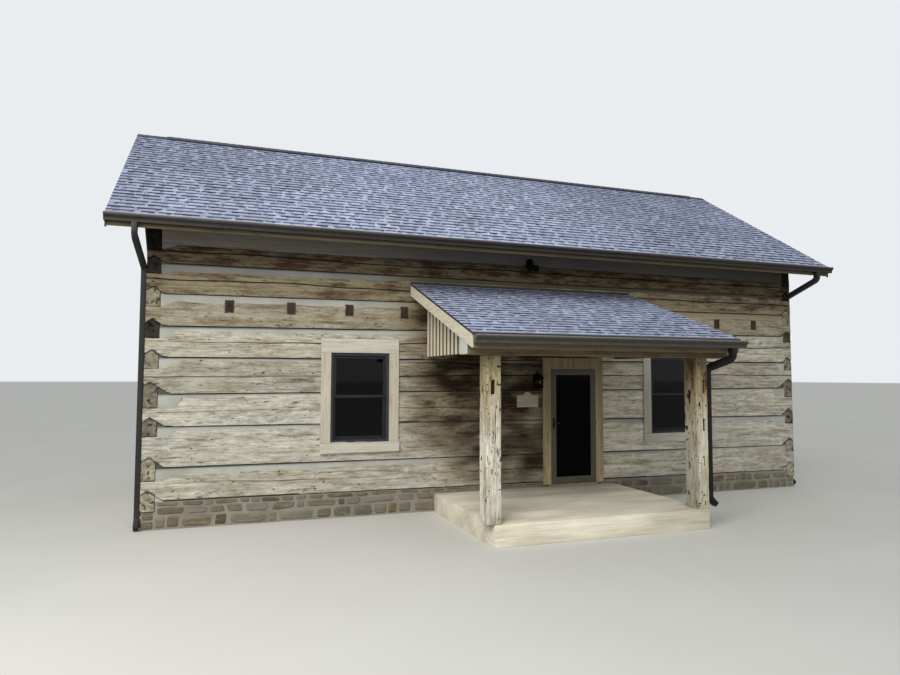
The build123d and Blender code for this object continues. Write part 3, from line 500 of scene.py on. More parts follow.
def shingle_finish(name, light=1.0):
    """Mineral granules on laminated shingles.

    Their tone X is 1 on a tab and their tone Z is 1 on a strip of painted shadow. Their tone Y is 1
    near a tile's head, which is darker, and their seam darkens them as painted shade.
    """
    made = Finish(name, x_axis)
    granules = made.noise(made.here, 420, 2, 0.8)
    clouds = made.grain(1.2, 2.6, 3)
    weather = made.noise(made.spot, 0.9)
    strip = made.mix(made.lot, (0.275, 0.305, 0.42), (0.34, 0.375, 0.51))
    tab = made.mix(made.lot, (0.325, 0.36, 0.49), (0.46, 0.51, 0.68))
    shadow = made.mix(made.level(made.lot, 0.2, 1), (0.022, 0.027, 0.046), (0.085, 0.095, 0.15))
    base = made.mix(made.tone["X"], strip, tab)
    base = made.mix(made.tone["Z"], base, shadow)
    base = made.mix(made.level(clouds, 0.55, 0.75, 0, 0.25), base, (0.24, 0.22, 0.22))
    base = made.vary(base, granules, 0.75, 1.25)
    base = made.vary(base, weather, 0.88 * light, 1.12 * light)
    base = made.shade(base, made.level(made.tone["Y"], 0.42, 0.76, 1, 0.78))
    base = made.darken_by_painted_shade(base)
    return made.end(base, 0.85, made.relief((granules, 0.002)), specular=0.12)


def painted(name, paint, roughness=0.45, worn=0.15, metallic=0.0, wear=(0.30, 0.27, 0.22), gloss=0.15):
    """Painted metal or plastic with faint dirt and streaks.

    Its tone X takes it to the color of its wear, and its tone Y makes it lighter or darker as
    painted highlights and shade.
    """
    made = Finish(name)
    dirt = made.noise(made.here, 5, 5)
    base = made.mix(made.level(dirt, 0.45, 0.75, 0, worn), paint, wear)
    base = made.vary(base, made.grain(1.5, 30, 3), 0.9, 1.06)
    base = made.mix(made.tone["X"], base, wear)
    base = made.lighten(base, made.tone["Y"])
    rough = made.level(dirt, 0.3, 0.7, roughness * 0.8, min(1, roughness * 1.3))
    return made.end(base, rough, made.relief((dirt, 0.001)), metallic, gloss)


def concrete(name):
    """A worn slab, brushed along the building."""
    made = Finish(name, x_axis)
    brushed = made.grain(1.2, 30, 5, 0.6)
    fine = made.noise(made.here, 90, 4, 0.7)
    base = made.mix(made.level(made.grain(0.7, 2.2), 0.35, 0.68), (0.84, 0.79, 0.64), (0.56, 0.52, 0.41))
    base = made.vary(base, brushed, 0.78, 1.12)
    base = made.vary(base, fine, 0.93, 1.05)
    return made.end(base, 0.85, made.relief((brushed, 0.004), (fine, 0.0015)), specular=0.25)


def pane(name, tint, mirror_share):
    """Window glass: light passes through it, and it mirrors more at a low angle."""
    made = Finish(name)
    made.tree.nodes.remove(made.surface)
    normal = made.relief((made.noise(made.here, 2.5, 2), 0.0004))
    smears = made.level(made.noise(made.here, 7, 5), 0.4, 0.7, 0.015, 0.06)
    through = made.put("ShaderNodeBsdfTransparent", {"Color": tint})["BSDF"]
    mirror = made.put("ShaderNodeBsdfGlossy", {"Roughness": smears, "Normal": normal})["BSDF"]
    fresnel = made.put("ShaderNodeFresnel", {"IOR": glass_ior, "Normal": normal})["Fac"]
    share = made.math("MULTIPLY", fresnel, mirror_share)
    mixed = made.put("ShaderNodeMixShader", {0: share, 1: through, 2: mirror})["Shader"]
    made.fill(made.tree.nodes["Material Output"], {"Surface": mixed})
    return made.material


# Hewn timbers: their colors are pale, brown and the end's
log_colors = ((0.62, 0.59, 0.49), (0.30, 0.25, 0.16), (0.165, 0.148, 0.11))
joist_colors = ((0.20, 0.15, 0.10), (0.13, 0.09, 0.06), (0.05, 0.036, 0.028))
post_colors = ((0.80, 0.76, 0.62), (0.40, 0.325, 0.175), (0.4, 0.34, 0.26))
long_log_wood = hewn("hewn_logs_long", x_axis, log_colors)
side_log_wood = hewn("hewn_logs_side", y_axis, log_colors)
joist_wood = hewn("joists", y_axis, joist_colors)
post_wood = hewn("post_wood", z_axis, post_colors, chips=0.85)

# Boards: their colors are pale, brown and dark
plate_colors = ((0.25, 0.225, 0.195), (0.20, 0.175, 0.15), (0.14, 0.12, 0.10))
inner_colors = ((0.42, 0.31, 0.19), (0.33, 0.23, 0.14), (0.22, 0.15, 0.09))
beam_colors = ((0.19, 0.148, 0.086), (0.13, 0.097, 0.052), (0.07, 0.05, 0.03))
fascia_colors = ((0.17, 0.14, 0.085), (0.12, 0.095, 0.055), (0.06, 0.045, 0.03))
flat_trim_colors = ((0.56, 0.535, 0.46), (0.46, 0.42, 0.34), (0.34, 0.28, 0.2))
upright_trim_colors = ((0.52, 0.49, 0.405), (0.43, 0.385, 0.29), (0.30, 0.25, 0.18))
golden_colors = ((0.50, 0.40, 0.235), (0.37, 0.285, 0.16), (0.20, 0.155, 0.10))
cream_colors = ((0.64, 0.59, 0.46), (0.54, 0.48, 0.35), (0.34, 0.28, 0.2))
plaque_colors = ((0.46, 0.44, 0.35), (0.38, 0.34, 0.25), (0.35, 0.28, 0.2))
plate_wood = wood("plate", x_axis, plate_colors, checks=0.0, patchy=0.35)
inner_y = wood("inner_wood_y", y_axis, inner_colors, checks=0.3)
inner_x = wood("inner_wood_x", x_axis, inner_colors, checks=0.3)
beam_wood = wood("beam_wood", x_axis, beam_colors, checks=0.5)
fascia_wood = wood("fascia", x_axis, fascia_colors, checks=0.3, patchy=0.8)
trim_x = wood("trim_flat", x_axis, flat_trim_colors, checks=0.25, patchy=0.6)
trim_z = wood("trim_upright", z_axis, upright_trim_colors, checks=0.25, patchy=0.6)
golden_x = wood("golden_flat", x_axis, golden_colors, checks=0.2)
golden_z = wood("golden_upright", z_axis, golden_colors, checks=0.2)
cream = wood("cream_boards", y_axis, cream_colors, checks=0.15, patchy=0.5)
plaque_wood = wood("plaque_board", x_axis, plaque_colors, checks=0.1)

# Mortar, stone, concrete and shingles
chink_mortar = mortar("chinking", (0.455, 0.46, 0.425), (0.35, 0.345, 0.305))
stone_mortar = mortar("stone_mortar", (0.28, 0.265, 0.22), (0.20, 0.18, 0.145))
field_stone = stone("field_stone")
slab_finish = concrete("slab")
shingles = shingle_finish("shingles")
ridge_shingles = shingle_finish("ridge_shingles", light=0.3)

# Metal, paint and glass
ribbed = painted("ribbed_sheet", (0.76, 0.71, 0.57), 0.5, 0.25, wear=(0.42, 0.28, 0.10))
bronze = painted("bronze_metal", (0.042, 0.038, 0.034), 0.36, 0.2, wear=(0.085, 0.075, 0.065))
spout_metal = painted("spout_metal", (0.024, 0.024, 0.023), 0.4, 0.2, wear=(0.07, 0.065, 0.055))
zinc = painted("zinc_sheet", (0.62, 0.64, 0.62), 0.4, 0.3, 0.2, wear=(0.42, 0.41, 0.37))
drip_metal = painted("drip_metal", (0.05, 0.048, 0.046), 0.5, 0.2, wear=(0.10, 0.09, 0.08))
black_metal = painted("black_metal", (0.012, 0.012, 0.013), 0.4, 0.2, wear=(0.05, 0.045, 0.04))
lantern_metal = painted("lantern_metal", (0.005, 0.005, 0.005), 0.8, 0.0, gloss=0.04)
lantern_pane = painted("lantern_pane", (0.075, 0.072, 0.055), 0.6, 0.3, gloss=0.2)
door_paint = painted("door_paint", (0.10, 0.094, 0.072), 0.4, 0.1)
window_grey = painted("window_frame", (0.036, 0.040, 0.047), 0.45, 0.05)
sash_paint = painted("sash_paint", (0.019, 0.022, 0.028), 0.35, 0.1, wear=(0.06, 0.06, 0.063))
door_glass = pane("door_glass", (0.05, 0.045, 0.048), 0.1)
window_pane = pane("window_pane", (0.27, 0.21, 0.23), 0.5)

# Stretches over which the porch's shade on the front wall comes and goes: along X, and shade_top
# in height. Right of the door the wall is lighter instead.
shade_begins = (porch_low.x - 0.5, porch_low.x + 0.7)
shade_ends = (1.2, 1.7)
light_ends = (2.8, 3.5)
shade_top = (porch_high.z - 0.5, porch_high.z - 0.1)
slab_begins = (-1.8, -0.8)


def sheltered(point):
    """How far a point of the front wall lies in the porch's shade. Below 0 the wall is lighter."""
    if point.y > 0:
        return 0
    past_door = smooth_step(point.x, *shade_ends)
    share = smooth_step(point.x, *shade_begins)
    share *= 1 - past_door
    share *= min(1.1, 0.95 + 0.8 * noise_at(point.x * 2.3, 1.1, point.z * 5))
    share -= 1.3 * past_door * (1 - smooth_step(point.x, *light_ends))
    share *= 1 - smooth_step(point.z, *shade_top)
    lit_below = 0.7 - 0.6 * smooth_step(point.x, *slab_begins)
    return share * smooth_step(point.z, lit_below, lit_below + 0.7)


# Hewn logs: the CAD solids, cut into a grid and worn
column_step = 0.11
depth_step = 0.07
row_shares = (0.12, 0.24, 0.37, 0.63, 0.76, 0.9)
row_apart = 0.03
least_sections = 6
split_spread = 0.03
rim = 0.014
# Painted shade under each log: the band it fades over, and how dark it is there and on a thin rim round the
# log's ends
underside_shade_band = 0.009
underside_shade_and_rim = 0.75
hewn_wave = 0.006
hewn_chip = 0.0035
hewn_sink = 0.002
crack_half_width = 0.013
crack_depth = 0.018
crack_reach = 0.08
crack_swing = 0.04
top_reach = 0.04
top_dip = 0.026

# The logs by their height: how brown and how much lighter they are (below 0 they are darker), how
# open their crack is, how far up the log it lies, and how much lighter their ends are
tone_levels = [0.6, 1.15, 1.73, 2.26, 2.77, 3.23, 3.70, 4.09, 4.6]
tone_brown = [0.25, 0.05, 0.08, 0.3, 0.16, 0.75, 1.15, 1.6, 1.6]
tone_light = [-0.02, -0.02, -0.03, -0.18, -0.07, -0.17, -0.18, -0.38, -0.45]
tone_seam = [0.5, 0.0, 0.5, 1.1, 1.1, 0.1, 1.2, 1.2, 0.6]
tone_split = [0.6, 0.5, 0.5, 0.52, 0.66, 0.5, 0.58, 0.64, 0.5]
end_levels = [0.41, 0.88, 1.5, 1.97, 2.5, 2.96, 3.43, 3.9, 4.3]
tone_end = [1.3, 1.0, 0.0, 0.15, 0.5, -0.85, 0.6, -0.88, -0.9]


def middle(values):
    """The middle one of some values in order."""
    return sorted(values)[len(values) // 2]


def middle_line(mesh, axis, columns):
    """The slope of a log's middle along its axis, and its low and high edge on that slope."""
    sections = {round(place, 4): [] for place in columns}
    for vert in mesh.verts:
        place = round(vert.co[axis], 4)
        if place in sections:
            sections[place].append(vert.co.z)
    spans = [(place, min(values), max(values)) for place, values in sorted(sections.items()) if values]
    if len(spans) < least_sections:
        low, high = extent(mesh)
        return 0, low.z, high.z
    slopes = []
    for edge in (1, 2):
        slopes.append(middle([(b[edge] - a[edge]) / (b[0] - a[0]) for a, b in zip(spans, spans[1:])]))
    slope = sum(slopes) / 2
    low = middle([place_low - slope * place for place, place_low, place_high in spans])
    high = middle([place_high - slope * place for place, place_low, place_high in spans])
    return slope, low, high


def cut_log(solid, axis, low, high):
    """Cut a log into a grid. Return its slope, its upper edge, and its crack's height and openness."""
    through = 1 - axis
    columns = even_places(low[axis], high[axis], column_step)
    slice_up(solid, directions[axis], columns + [low[axis] + rim, high[axis] - rim])
    slope, bottom, top = middle_line(solid, axis, columns)
    height = top - bottom
    middle_height = (bottom + top) / 2
    crack_share = read_at(middle_height, tone_levels, tone_split) + split_spread * chance.uniform(-1, 1)
    line = bottom + crack_share * height
    levels = [bottom + share * height for share in row_shares]
    levels = [level for level in levels if abs(level - line) > row_apart]
    levels += [line - crack_half_width, line, line + crack_half_width]
    levels += [bottom + underside_shade_band, bottom + 2 * underside_shade_band]
    slice_levels(solid, axis, slope, sorted(levels))
    depths = even_places(low[through], high[through], depth_step)
    slice_up(solid, directions[through], depths + [low[through] + rim, high[through] - rim])
    solid.normal_update()
    return slope, top, line, read_at(middle_height, tone_levels, tone_seam)


def worn_log(solid, axis, seed):
    """A log with a long drying crack, a waving hewn surface and painted shade under its lower edges.

    The seams say for each point how far it lies in a crack, in that painted shade, or
    on a dark rim round the log's ends.
    """
    low, high = extent(solid)
    slope, top, line, openness = cut_log(solid, axis, low, high)
    shift = Vector((seed * 3.7, seed * 1.9, seed * 5.3))
    seams = []
    for vert in solid.verts:
        spot = vert.co + shift
        along = vert.co[axis] + seed * 11
        level = vert.co.z - slope * vert.co[axis]
        away = abs(level - line)
        waves = hewn_wave * grain_at(spot, axis, 0.8, 3.5) + hewn_chip * grain_at(spot, axis, 6, 12)
        moved = vert.normal * (waves - hewn_sink)
        seam = 0
        if away < crack_reach:
            swing = noise_at(along * 0.5, 9.1, 0.5) + 0.4 * noise_at(along * 2.1, 3.3, 4)
            moved.z += crack_swing * swing * (1 - away / crack_reach)
        if away < crack_half_width / 2 and abs(vert.normal[1 - axis]) > 0.9:
            seam = min(1, max(0, openness + 0.9 * noise_at(along * 0.4, 5.7, 8.5)))
            moved -= vert.normal * crack_depth * seam
        from_end = min(vert.co[axis] - low[axis], high[axis] - vert.co[axis])
        # Painted shade on the log's underside, and the same darkness on a thin rim round each end
        if vert.normal.z < -0.3 or (from_end < rim / 2 and abs(vert.normal[axis]) < 0.95):
            seam = underside_shade_and_rim
        if level > top - top_reach:
            dip = noise_at(along * 1.6, 2.2, 7.7) + 0.5 * noise_at(along * 6, 1, 3)
            moved.z -= top_dip * max(0, dip + 0.15)
        vert.co += moved
        seams.append(seam)
    return taken(solid), seams


def log_tones(shapes):
    """A function that gives the tone of each point of some logs."""
    middles = [sum(point.z for point in points) / len(points) for points, faces in shapes]
    lots = [chance.uniform(-1, 1) for shape in shapes]

    def tone(number, point):
        height = middles[number]
        # Under the porch and right of the door the logs are browner; painted shade darkens them under the
        # porch, and painted light lightens them right of the door.
        shelter = sheltered(point)
        brown = read_at(height, tone_levels, tone_brown)
        brown += 0.12 * lots[number] + (1.3 if shelter > 0 else -0.25) * shelter
        light = read_at(height, tone_levels, tone_light) + 0.06 * lots[number] - 0.5 * shelter
        return brown, light, read_at(height, end_levels, tone_end)

    return tone


for node, axis, finish in [
    ("front_logs_left", x_axis, long_log_wood),
    ("front_logs_right", x_axis, long_log_wood),
    ("front_logs_over", x_axis, long_log_wood),
    ("back_logs", x_axis, long_log_wood),
    ("left_logs", y_axis, side_log_wood),
    ("right_logs", y_axis, side_log_wood),
]:
    shapes, seams = zip(*[worn_log(solid, axis, chance.uniform(0, 9)) for solid in solids(node)])
    show(node + "_worn", shapes, finish, (node,), tones=log_tones(shapes), seams=seams)

# The mortar between the logs stands unevenly in its joints, and has painted shade under the log above it
mortar_column = 0.14
mortar_row = 0.05
mortar_tuck = 0.028
mortar_out = 0.004
shadow_below = (0.0, 0.007, 0.018, 0.045)
shadow_shares = (0.8, 0.45, 0.1, 0.0)
eave_shade = (3.2, 3.8)
eave_shade_left = (-3, -1.5)
brown_begins = (-2.7, -1.9)
brown_above = (3.2, 3.4)


def mortar_tone(number, point):
    """The mortar above the porch roof and in its shade is as brown as the logs there."""
    if point.y > 0:
        return 0, 0, 0
    above = smooth_step(point.x, *brown_begins) * smooth_step(point.z, *brown_above)
    return max(above, min(0.8, sheltered(point))), 0, 0


def trowelled(solid):
    """A strip of mortar, and the painted shade of each of its points: under the log above, under the eave and
    in the porch's shade.
    """
    low, high = extent(solid)
    axis = x_axis if high.x - low.x > high.y - low.y else y_axis
    columns = even_places(low[axis], high[axis], mortar_column)
    slice_up(solid, directions[axis], columns)
    slope, bottom, top = middle_line(solid, axis, columns)
    slice_levels(solid, axis, slope, [top - below for below in shadow_below[1:]])
    slice_up(solid, upward, even_places(low.z, high.z, mortar_row))
    solid.normal_update()
    seams = []
    for vert in solid.verts:
        below = top - (vert.co.z - slope * vert.co[axis])
        if vert.normal.z < -0.5:
            vert.co.z -= mortar_tuck
        under_eave = 0.5 + 0.3 * smooth_step(vert.co.x, *eave_shade_left)
        dim = 0.8 * sheltered(vert.co) + under_eave * smooth_step(vert.co.z, *eave_shade)
        seams.append(max(read_at(below, shadow_below, shadow_shares), dim))
        if abs(vert.normal[1 - axis]) > 0.6:
            swell = noise.noise(vert.co * 3.1) * 0.006 + noise.noise(vert.co * 11) * 0.002
            vert.co += vert.normal * (mortar_out + swell)
    return taken(solid), seams


for node in ("front_chinking", "back_chinking", "side_chinking"):
    shapes, seams = zip(*[trowelled(solid) for solid in solids(node)])
    show(node + "_trowelled", shapes, chink_mortar, (node,), tones=mortar_tone, seams=seams)

# Field stone foundations: mortar set back from the face, and stones that stand out of it
mortar_inset = 0.016
stone_depth = 0.05
stone_gap = 0.010
stone_bulge = 0.012
stone_roughness = 0.007
stone_columns = 7
stone_rows = 5
stone_widths = (0.13, 0.2, 0.3, 0.42, 0.6)
width_spread = (0.8, 1.2)
course_heights = (0.09, 0.2)
joint_wave = 0.035
joint_lean = 0.03
joint_margin = 0.004
least_width = 0.1
least_height = 0.03


def pillow(corners, outward):
    """A rounded stone face that bulges outward between four corners, given round the stone."""
    seed = Vector([chance.uniform(0, 50) for axis in range(3)])
    low_first, low_last, top_last, top_first = corners
    heart = sum(corners, Vector()) / 4
    width = (low_last - low_first).length
    height = max(least_height, (top_first - low_first).length)
    points, faces = [], []
    for row in range(stone_rows + 1):
        for column in range(stone_columns + 1):
            u, v = column / stone_columns, row / stone_rows
            a, b = 2 * u - 1, 2 * v - 1
            edge = max(abs(a), abs(b))
            wobble = 0.5 + 0.5 * noise.noise(seed + Vector((a * 1.5, b * 1.5, 7)))
            shrink = 1 - 0.10 * wobble - 0.12 * (a * b) ** 4
            rough = noise.noise(seed + Vector((a * 1.4, b * 1.4, 0)))
            rise = (1 - edge**6) * stone_bulge + rough * stone_roughness * (1 - edge**2) - stone_bulge
            if edge > 0.99:
                rise = -stone_depth / 2
            spot = low_first.lerp(low_last, u).lerp(top_first.lerp(top_last, u), v) - heart
            spot.x *= 1 - stone_gap / width
            spot.y *= 1 - stone_gap / width
            spot.z *= 1 - stone_gap / height
            points.append(heart + spot * shrink + outward * rise)
    for row in range(stone_rows):
        for column in range(stone_columns):
            first = row * (stone_columns + 1) + column
            above = first + stone_columns + 1
            faces.append([first, first + 1, above + 1, above])
    return points, faces


def stone_face(first, last, outward):
    """Rough courses of stones on a wall's face, from the ground up to the line between two corners."""
    span = Vector((last.x - first.x, last.y - first.y, 0))
    along = span.normalized()
    length = span.length
    levels = [0.0]
    while levels[-1] < max(first.z, last.z):
        levels.append(levels[-1] + chance.uniform(*course_heights))

    def joint(number, place):
        """The place on the wall where a joint ends on a line between two courses."""
        wave = joint_wave * noise_at(place * 2.1, number * 5.3, first.x + first.y) if number else 0
        top = first.z + (last.z - first.z) * place / length
        spot = first + along * place
        spot.z = min(max(levels[number] + wave, joint_margin), top - joint_margin)
        return spot

    stones = []
    for number in range(len(levels) - 1):
        low_joint, top_joint, place = 0.0, 0.0, 0.0
        while place < length:
            place += chance.choice(stone_widths) * chance.uniform(*width_spread)
            if place > length - least_width:
                place = length
            low_next = min(length, place + chance.uniform(-joint_lean, joint_lean))
            top_next = min(length, place + chance.uniform(-joint_lean, joint_lean))
            if place == length:
                low_next = top_next = length
            below = [joint(number, low_joint), joint(number, low_next)]
            above = [joint(number + 1, top_next), joint(number + 1, top_joint)]
            if above[1].z - below[0].z > least_height and above[0].z - below[1].z > least_height:
                stones.append(pillow(below + above, outward))
            low_joint, top_joint = low_next, top_next
    return stones


def foundation_face(solid, outward):
    """Set a foundation's outer face back, and return the stones for it."""
    low, high = extent(solid)
    axis = x_axis if abs(outward.y) > 0.5 else y_axis
    through = 1 - axis
    side = high if outward[through] > 0 else low
    corners = []
    for vert in solid.verts:
        if abs(vert.co[through] - side[through]) < weld:
            if vert.co.z > weld:
                corners.append(vert.co.copy())
            vert.co += outward * -mortar_inset
    corners.sort(key=lambda corner: corner[axis])
    first, last = corners[0], corners[-1]
    if (last - first).cross(upward).dot(outward) < 0:
        first, last = last, first
    return stone_face(first, last, outward)


def stony_sides(node, solid):
    """The directions of a foundation's outer faces."""
    if node == "front_foundation":
        return [-inward]
    if node == "back_foundation":
        return [inward]
    low, high = extent(solid)
    return [to_right if low.x + high.x > 0 else -to_right, -inward, inward]


for node in ("front_foundation", "back_foundation", "side_foundations"):
    beds, stones = [], []
    for solid in solids(node):
        for outward in stony_sides(node, solid):
            stones += foundation_face(solid, outward)
        beds.append(taken(solid))
    show(node + "_mortar", beds, stone_mortar, (node,))
    show(node + "_stones", stones, field_stone)

# Roofs: a deck, and shingles laid in courses from the eave to the ridge
shingle_rise = 0.012
exposure = 0.143
lap = 0.05
drip_edge = 0.018
least_tile = 0.02
strip_length = 1.0
strip_gap = 0.004
strip_shift = 0.35
strip_butt, strip_head = 0.005, 0.002
tab_over = 0.1
tab_widths = (0.08, 0.24)
tab_gaps = (0.04, 0.12)
tab_butts = (0.0098, 0.0118)
tab_head = 0.003
tab_set_back = 0.001
shadow_over = 0.2
shadow_widths = (0.15, 0.5)
shadow_gaps = (0.02, 0.09)
shadow_lengths = (0.040, 0.062)
shadow_under, shadow_butt, shadow_head = 0.004, 0.0078, 0.0068
shadow_lap = 0.002
strip_kind, tab_kind, shadow_kind = 0, 1, 2
under_eave = (front_face - 1.1, front_face - 0.1)
roof_left = (-7, -2)
roof_right = (0, 4)


class Slope:
    """The top of a roof slope, with places on it given along, up the slope and out of it."""

    def __init__(self, node):
        self.solid = solids(node)[0]
        tops = top_points(self.solid)
        corners = sorted([vert.co.copy() for vert in tops], key=lambda corner: (round(corner.z, 3), corner.x))
        self.origin = corners[0]
        self.length = corners[1].x - corners[0].x
        self.rise = (corners[2] - corners[0]).length
        self.up = (corners[2] - corners[0]).normalized()
        normal = to_right.cross(self.up)
        self.flipped = normal.z < 0
        self.normal = -normal if self.flipped else normal
        for vert in tops:
            vert.co.z -= shingle_rise / self.normal.z

    def point(self, along, up, out):
        return self.origin + to_right * along + self.up * up + self.normal * (out - shingle_rise)

    def tile(self, first, last, butt, head, butt_out, head_out, butt_under=0.0):
        """A thin wedge on the slope. Its butt is the low edge, which shows its thickness."""
        corners = []
        for at_butt, at_head in ((butt_under, 0), (butt_out, head_out)):
            corners += [self.point(first, butt, at_butt), self.point(last, butt, at_butt)]
            corners += [self.point(last, head, at_head), self.point(first, head, at_head)]
        return turned(block(corners)) if self.flipped else block(corners)


def stretches(place, length, widths, gaps):
    """Stretches of random width with random gaps between them, from a place to the slope's end."""
    while place < length:
        width = chance.uniform(*widths)
        first, last = max(place, 0), min(place + width, length)
        if last - first > least_tile:
            yield first, last
        place += width + chance.uniform(*gaps)


def shingled(slope):
    """Laminated shingles, and the kind of each tile.

    Each course has whole strips with wide and narrow tabs on them. Its shadows on the course below
    are painted: dark strips laid on that course.
    """
    tiles, kinds = [], []
    course = 0
    butt = 0.0
    while butt < slope.rise - least_tile:
        low_edge = max(butt, drip_edge)
        head = min(butt + exposure + lap, slope.rise)
        place = -strip_shift * (course % 3)
        while place < slope.length:
            first, last = max(place, 0), min(place + strip_length - strip_gap, slope.length)
            if last - first > least_tile:
                tiles.append(slope.tile(first, last, low_edge, head, strip_butt, strip_head))
                kinds.append(strip_kind)
            place += strip_length
        start = chance.uniform(-tab_over, 0)
        for first, last in stretches(start, slope.length, tab_widths, tab_gaps):
            tab_butt = chance.uniform(*tab_butts)
            tiles.append(slope.tile(first, last, low_edge + tab_set_back, head, tab_butt, tab_head))
            kinds.append(tab_kind)
        start = chance.uniform(-shadow_over, 0)
        if course > 0:
            for first, last in stretches(start, slope.length, shadow_widths, shadow_gaps):
                low, high = butt - chance.uniform(*shadow_lengths), butt + shadow_lap
                tiles.append(slope.tile(first, last, low, high, shadow_butt, shadow_head, shadow_under))
                kinds.append(shadow_kind)
        butt += exposure
        course += 1
    return tiles, kinds


def shingle_tones(slope, tiles, kinds):
    """A function that gives the tone of each point of some tiles."""
    middles = []
    for points, faces in tiles:
        middles.append(sum((point - slope.origin).dot(slope.up) for point in points) / len(points))

    def tone(number, point):
        if kinds[number] == shadow_kind:
            return 0, 0, 1
        near_head = (point - slope.origin).dot(slope.up) > middles[number]
        return int(kinds[number] == tab_kind), int(near_head), 0

    return tone


def roof_shade(point):
    """How much darker a roof is: at its ends, and where the porch roof lies under the eave."""
    if point.z < porch_high.z + 0.02 and point.y < front_face:
        return 0.72 * smooth_step(point.y, *under_eave)
    at_left = 0.16 - 0.32 * smooth_step(point.x, *roof_left)
    return at_left + 0.17 * smooth_step(point.x, *roof_right)


slopes = {}
for node in ("front_roof", "back_roof", "porch_roof"):
    slope = Slope(node)
    slopes[node] = slope
    tiles, kinds = shingled(slope)
    shades = [[roof_shade(point) for point in points] for points, faces in tiles]
    tones = shingle_tones(slope, tiles, kinds)
    show(node + "_shingles", tiles, shingles, tones=tones, seams=shades)
    show(node + "_deck", [taken(slope.solid)], drip_metal, (node,))

# The ridge: a vent strip under a row of cap shingles
cap_reach = 0.155
cap_lap = 0.03
least_cap = 0.01
cap_butt = 0.006
cap_tail = 0.001
cap_rises = (0, 0, 0, 0, cap_butt, cap_tail, cap_tail, cap_butt)
vent_low, vent_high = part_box("ridge_vent")
vent_rise = 0.022
vent_drop = 0.009
vent_margin = 0.02
caps = []
for node in ("front_roof", "back_roof"):
    slope = slopes[node]
    place = 0.0
    while place < slope.length - least_cap:
        last = min(place + exposure + cap_lap, slope.length)
        raised = vent_low.x - vent_margin < slope.origin.x + place < vent_high.x
        base = shingle_rise + (vent_rise - cap_butt if raised else -cap_tail)
        points, faces = slope.tile(place, last, slope.rise - cap_reach, slope.rise, 0.0, 0.0)
        for point, rise in zip(points, cap_rises):
            point += slope.normal * (base + rise)
        caps.append((points, faces))
        place += exposure
show("ridge_caps", caps, ridge_shingles)
vent_shapes = []
for solid in solids("ridge_vent"):
    for vert in top_points(solid):
        vert.co.z -= vent_drop
    vent_shapes.append(taken(solid))
show("ridge_vent_strip", vent_shapes, black_metal, ("ridge_vent",))

# Boards, timbers and metal that keep their CAD form. Some have a tone that paints light and
# shade on them; the ribbed sheets' tone also wears their valleys.
roof_gutter_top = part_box("gutters")[1].z
porch_gutter_top = max(point.z for point in cad_points("gutters") if point.z < porch_high.z)
infill_low, infill_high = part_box("porch_infills")


def plate_shade(number, point):
    """Painted shade makes the front plate darker to the right."""
    return 0, -0.6 * smooth_step(point.x, left_face, right_face) if point.y < 0 else 0, 0


def gutter_highlight_and_shade(number, point):
    """A gutter has a painted highlight on its rim. Painted shade darkens its belly on the roof, and
    painted light lightens it on the porch.
    """
    top, rim_highlight, belly_shading = roof_gutter_top, 2.2, -0.25
    if point.z < porch_high.z:
        top, rim_highlight, belly_shading = porch_gutter_top, 4.0, 0.45
    on_rim = 1 - smooth_step(top - point.z, 0.004, 0.027)
    on_belly = smooth_step(top - point.z, 0.02, 0.06)
    return 0, rim_highlight * on_rim + belly_shading * on_belly, 0


def spout_shade(number, point):
    """Painted shade makes the downspout beside the porch darker below its roof."""
    return 0, -0.6 if point.x > 0 and point.z < porch_high.z else 0, 0


def infill_wear_and_shade(number, point):
    """The ribbed sheets are worn in their valleys; painted shade darkens the valleys and the sheets'
    inside.
    """
    depth = min(point.x - infill_low.x, infill_high.x - point.x)
    valley = smooth_step(depth, 0.001, 0.0042)
    return 0.9 * valley, -0.5 * valley - 0.3 * smooth_step(depth, 0.01, 0.02), 0


def casing_shade(number, point):
    """Painted shade makes the door's casing darker towards its top."""
    return 0, -0.4 * smooth_step(point.z, 1.7, 2.6), 0


dress("wall_plates", plate_wood, 0.006, tones=plate_shade)
dress("loft_joists", joist_wood, 0.008)
dress("cabin_floor", inner_x)
dress("loft_floor", inner_x)
dress("rafters", inner_y)
dress("ridge_board", inner_x)
dress("fascia_boards", fascia_wood)
dress("front_rake_boards", bronze)
dress("back_rake_boards", bronze)
dress("gutters", bronze, 0.0015, tones=gutter_highlight_and_shade)
dress("downspouts", spout_metal, 0.004, segments=2, tones=spout_shade)
dress("porch_infills", ribbed, 0.004, tones=infill_wear_and_shade)
dress("door_casing", golden_z, 0.003, tones=casing_shade)
dress("porch_slab", slab_finish, 0.012, segments=2)
dress("porch_beam", beam_wood, 0.008)
dress("porch_ledger", inner_x)
dress("porch_rafters", inner_y)
dress("porch_rake_boards", cream)
dress("porch_flashing", bronze, 0.001)
dress("door_threshold", golden_x)
dress("storm_door_frame", door_paint, 0.004, "storm_door", segments=2)
dress("storm_door_glass", door_glass, 0.001, "storm_door")
dress("storm_door_handle", black_metal, 0.003, "storm_door", segments=2)
dress("window_frames", window_grey)
dress("window_sashes", sash_paint, 0.003)
dress("window_glass", window_pane, 0.001)
dress("wall_lantern", lantern_metal, 0.003)
dress("flood_light", lantern_metal, 0.006, segments=2)
dress("plaque", plaque_wood, 0.004)

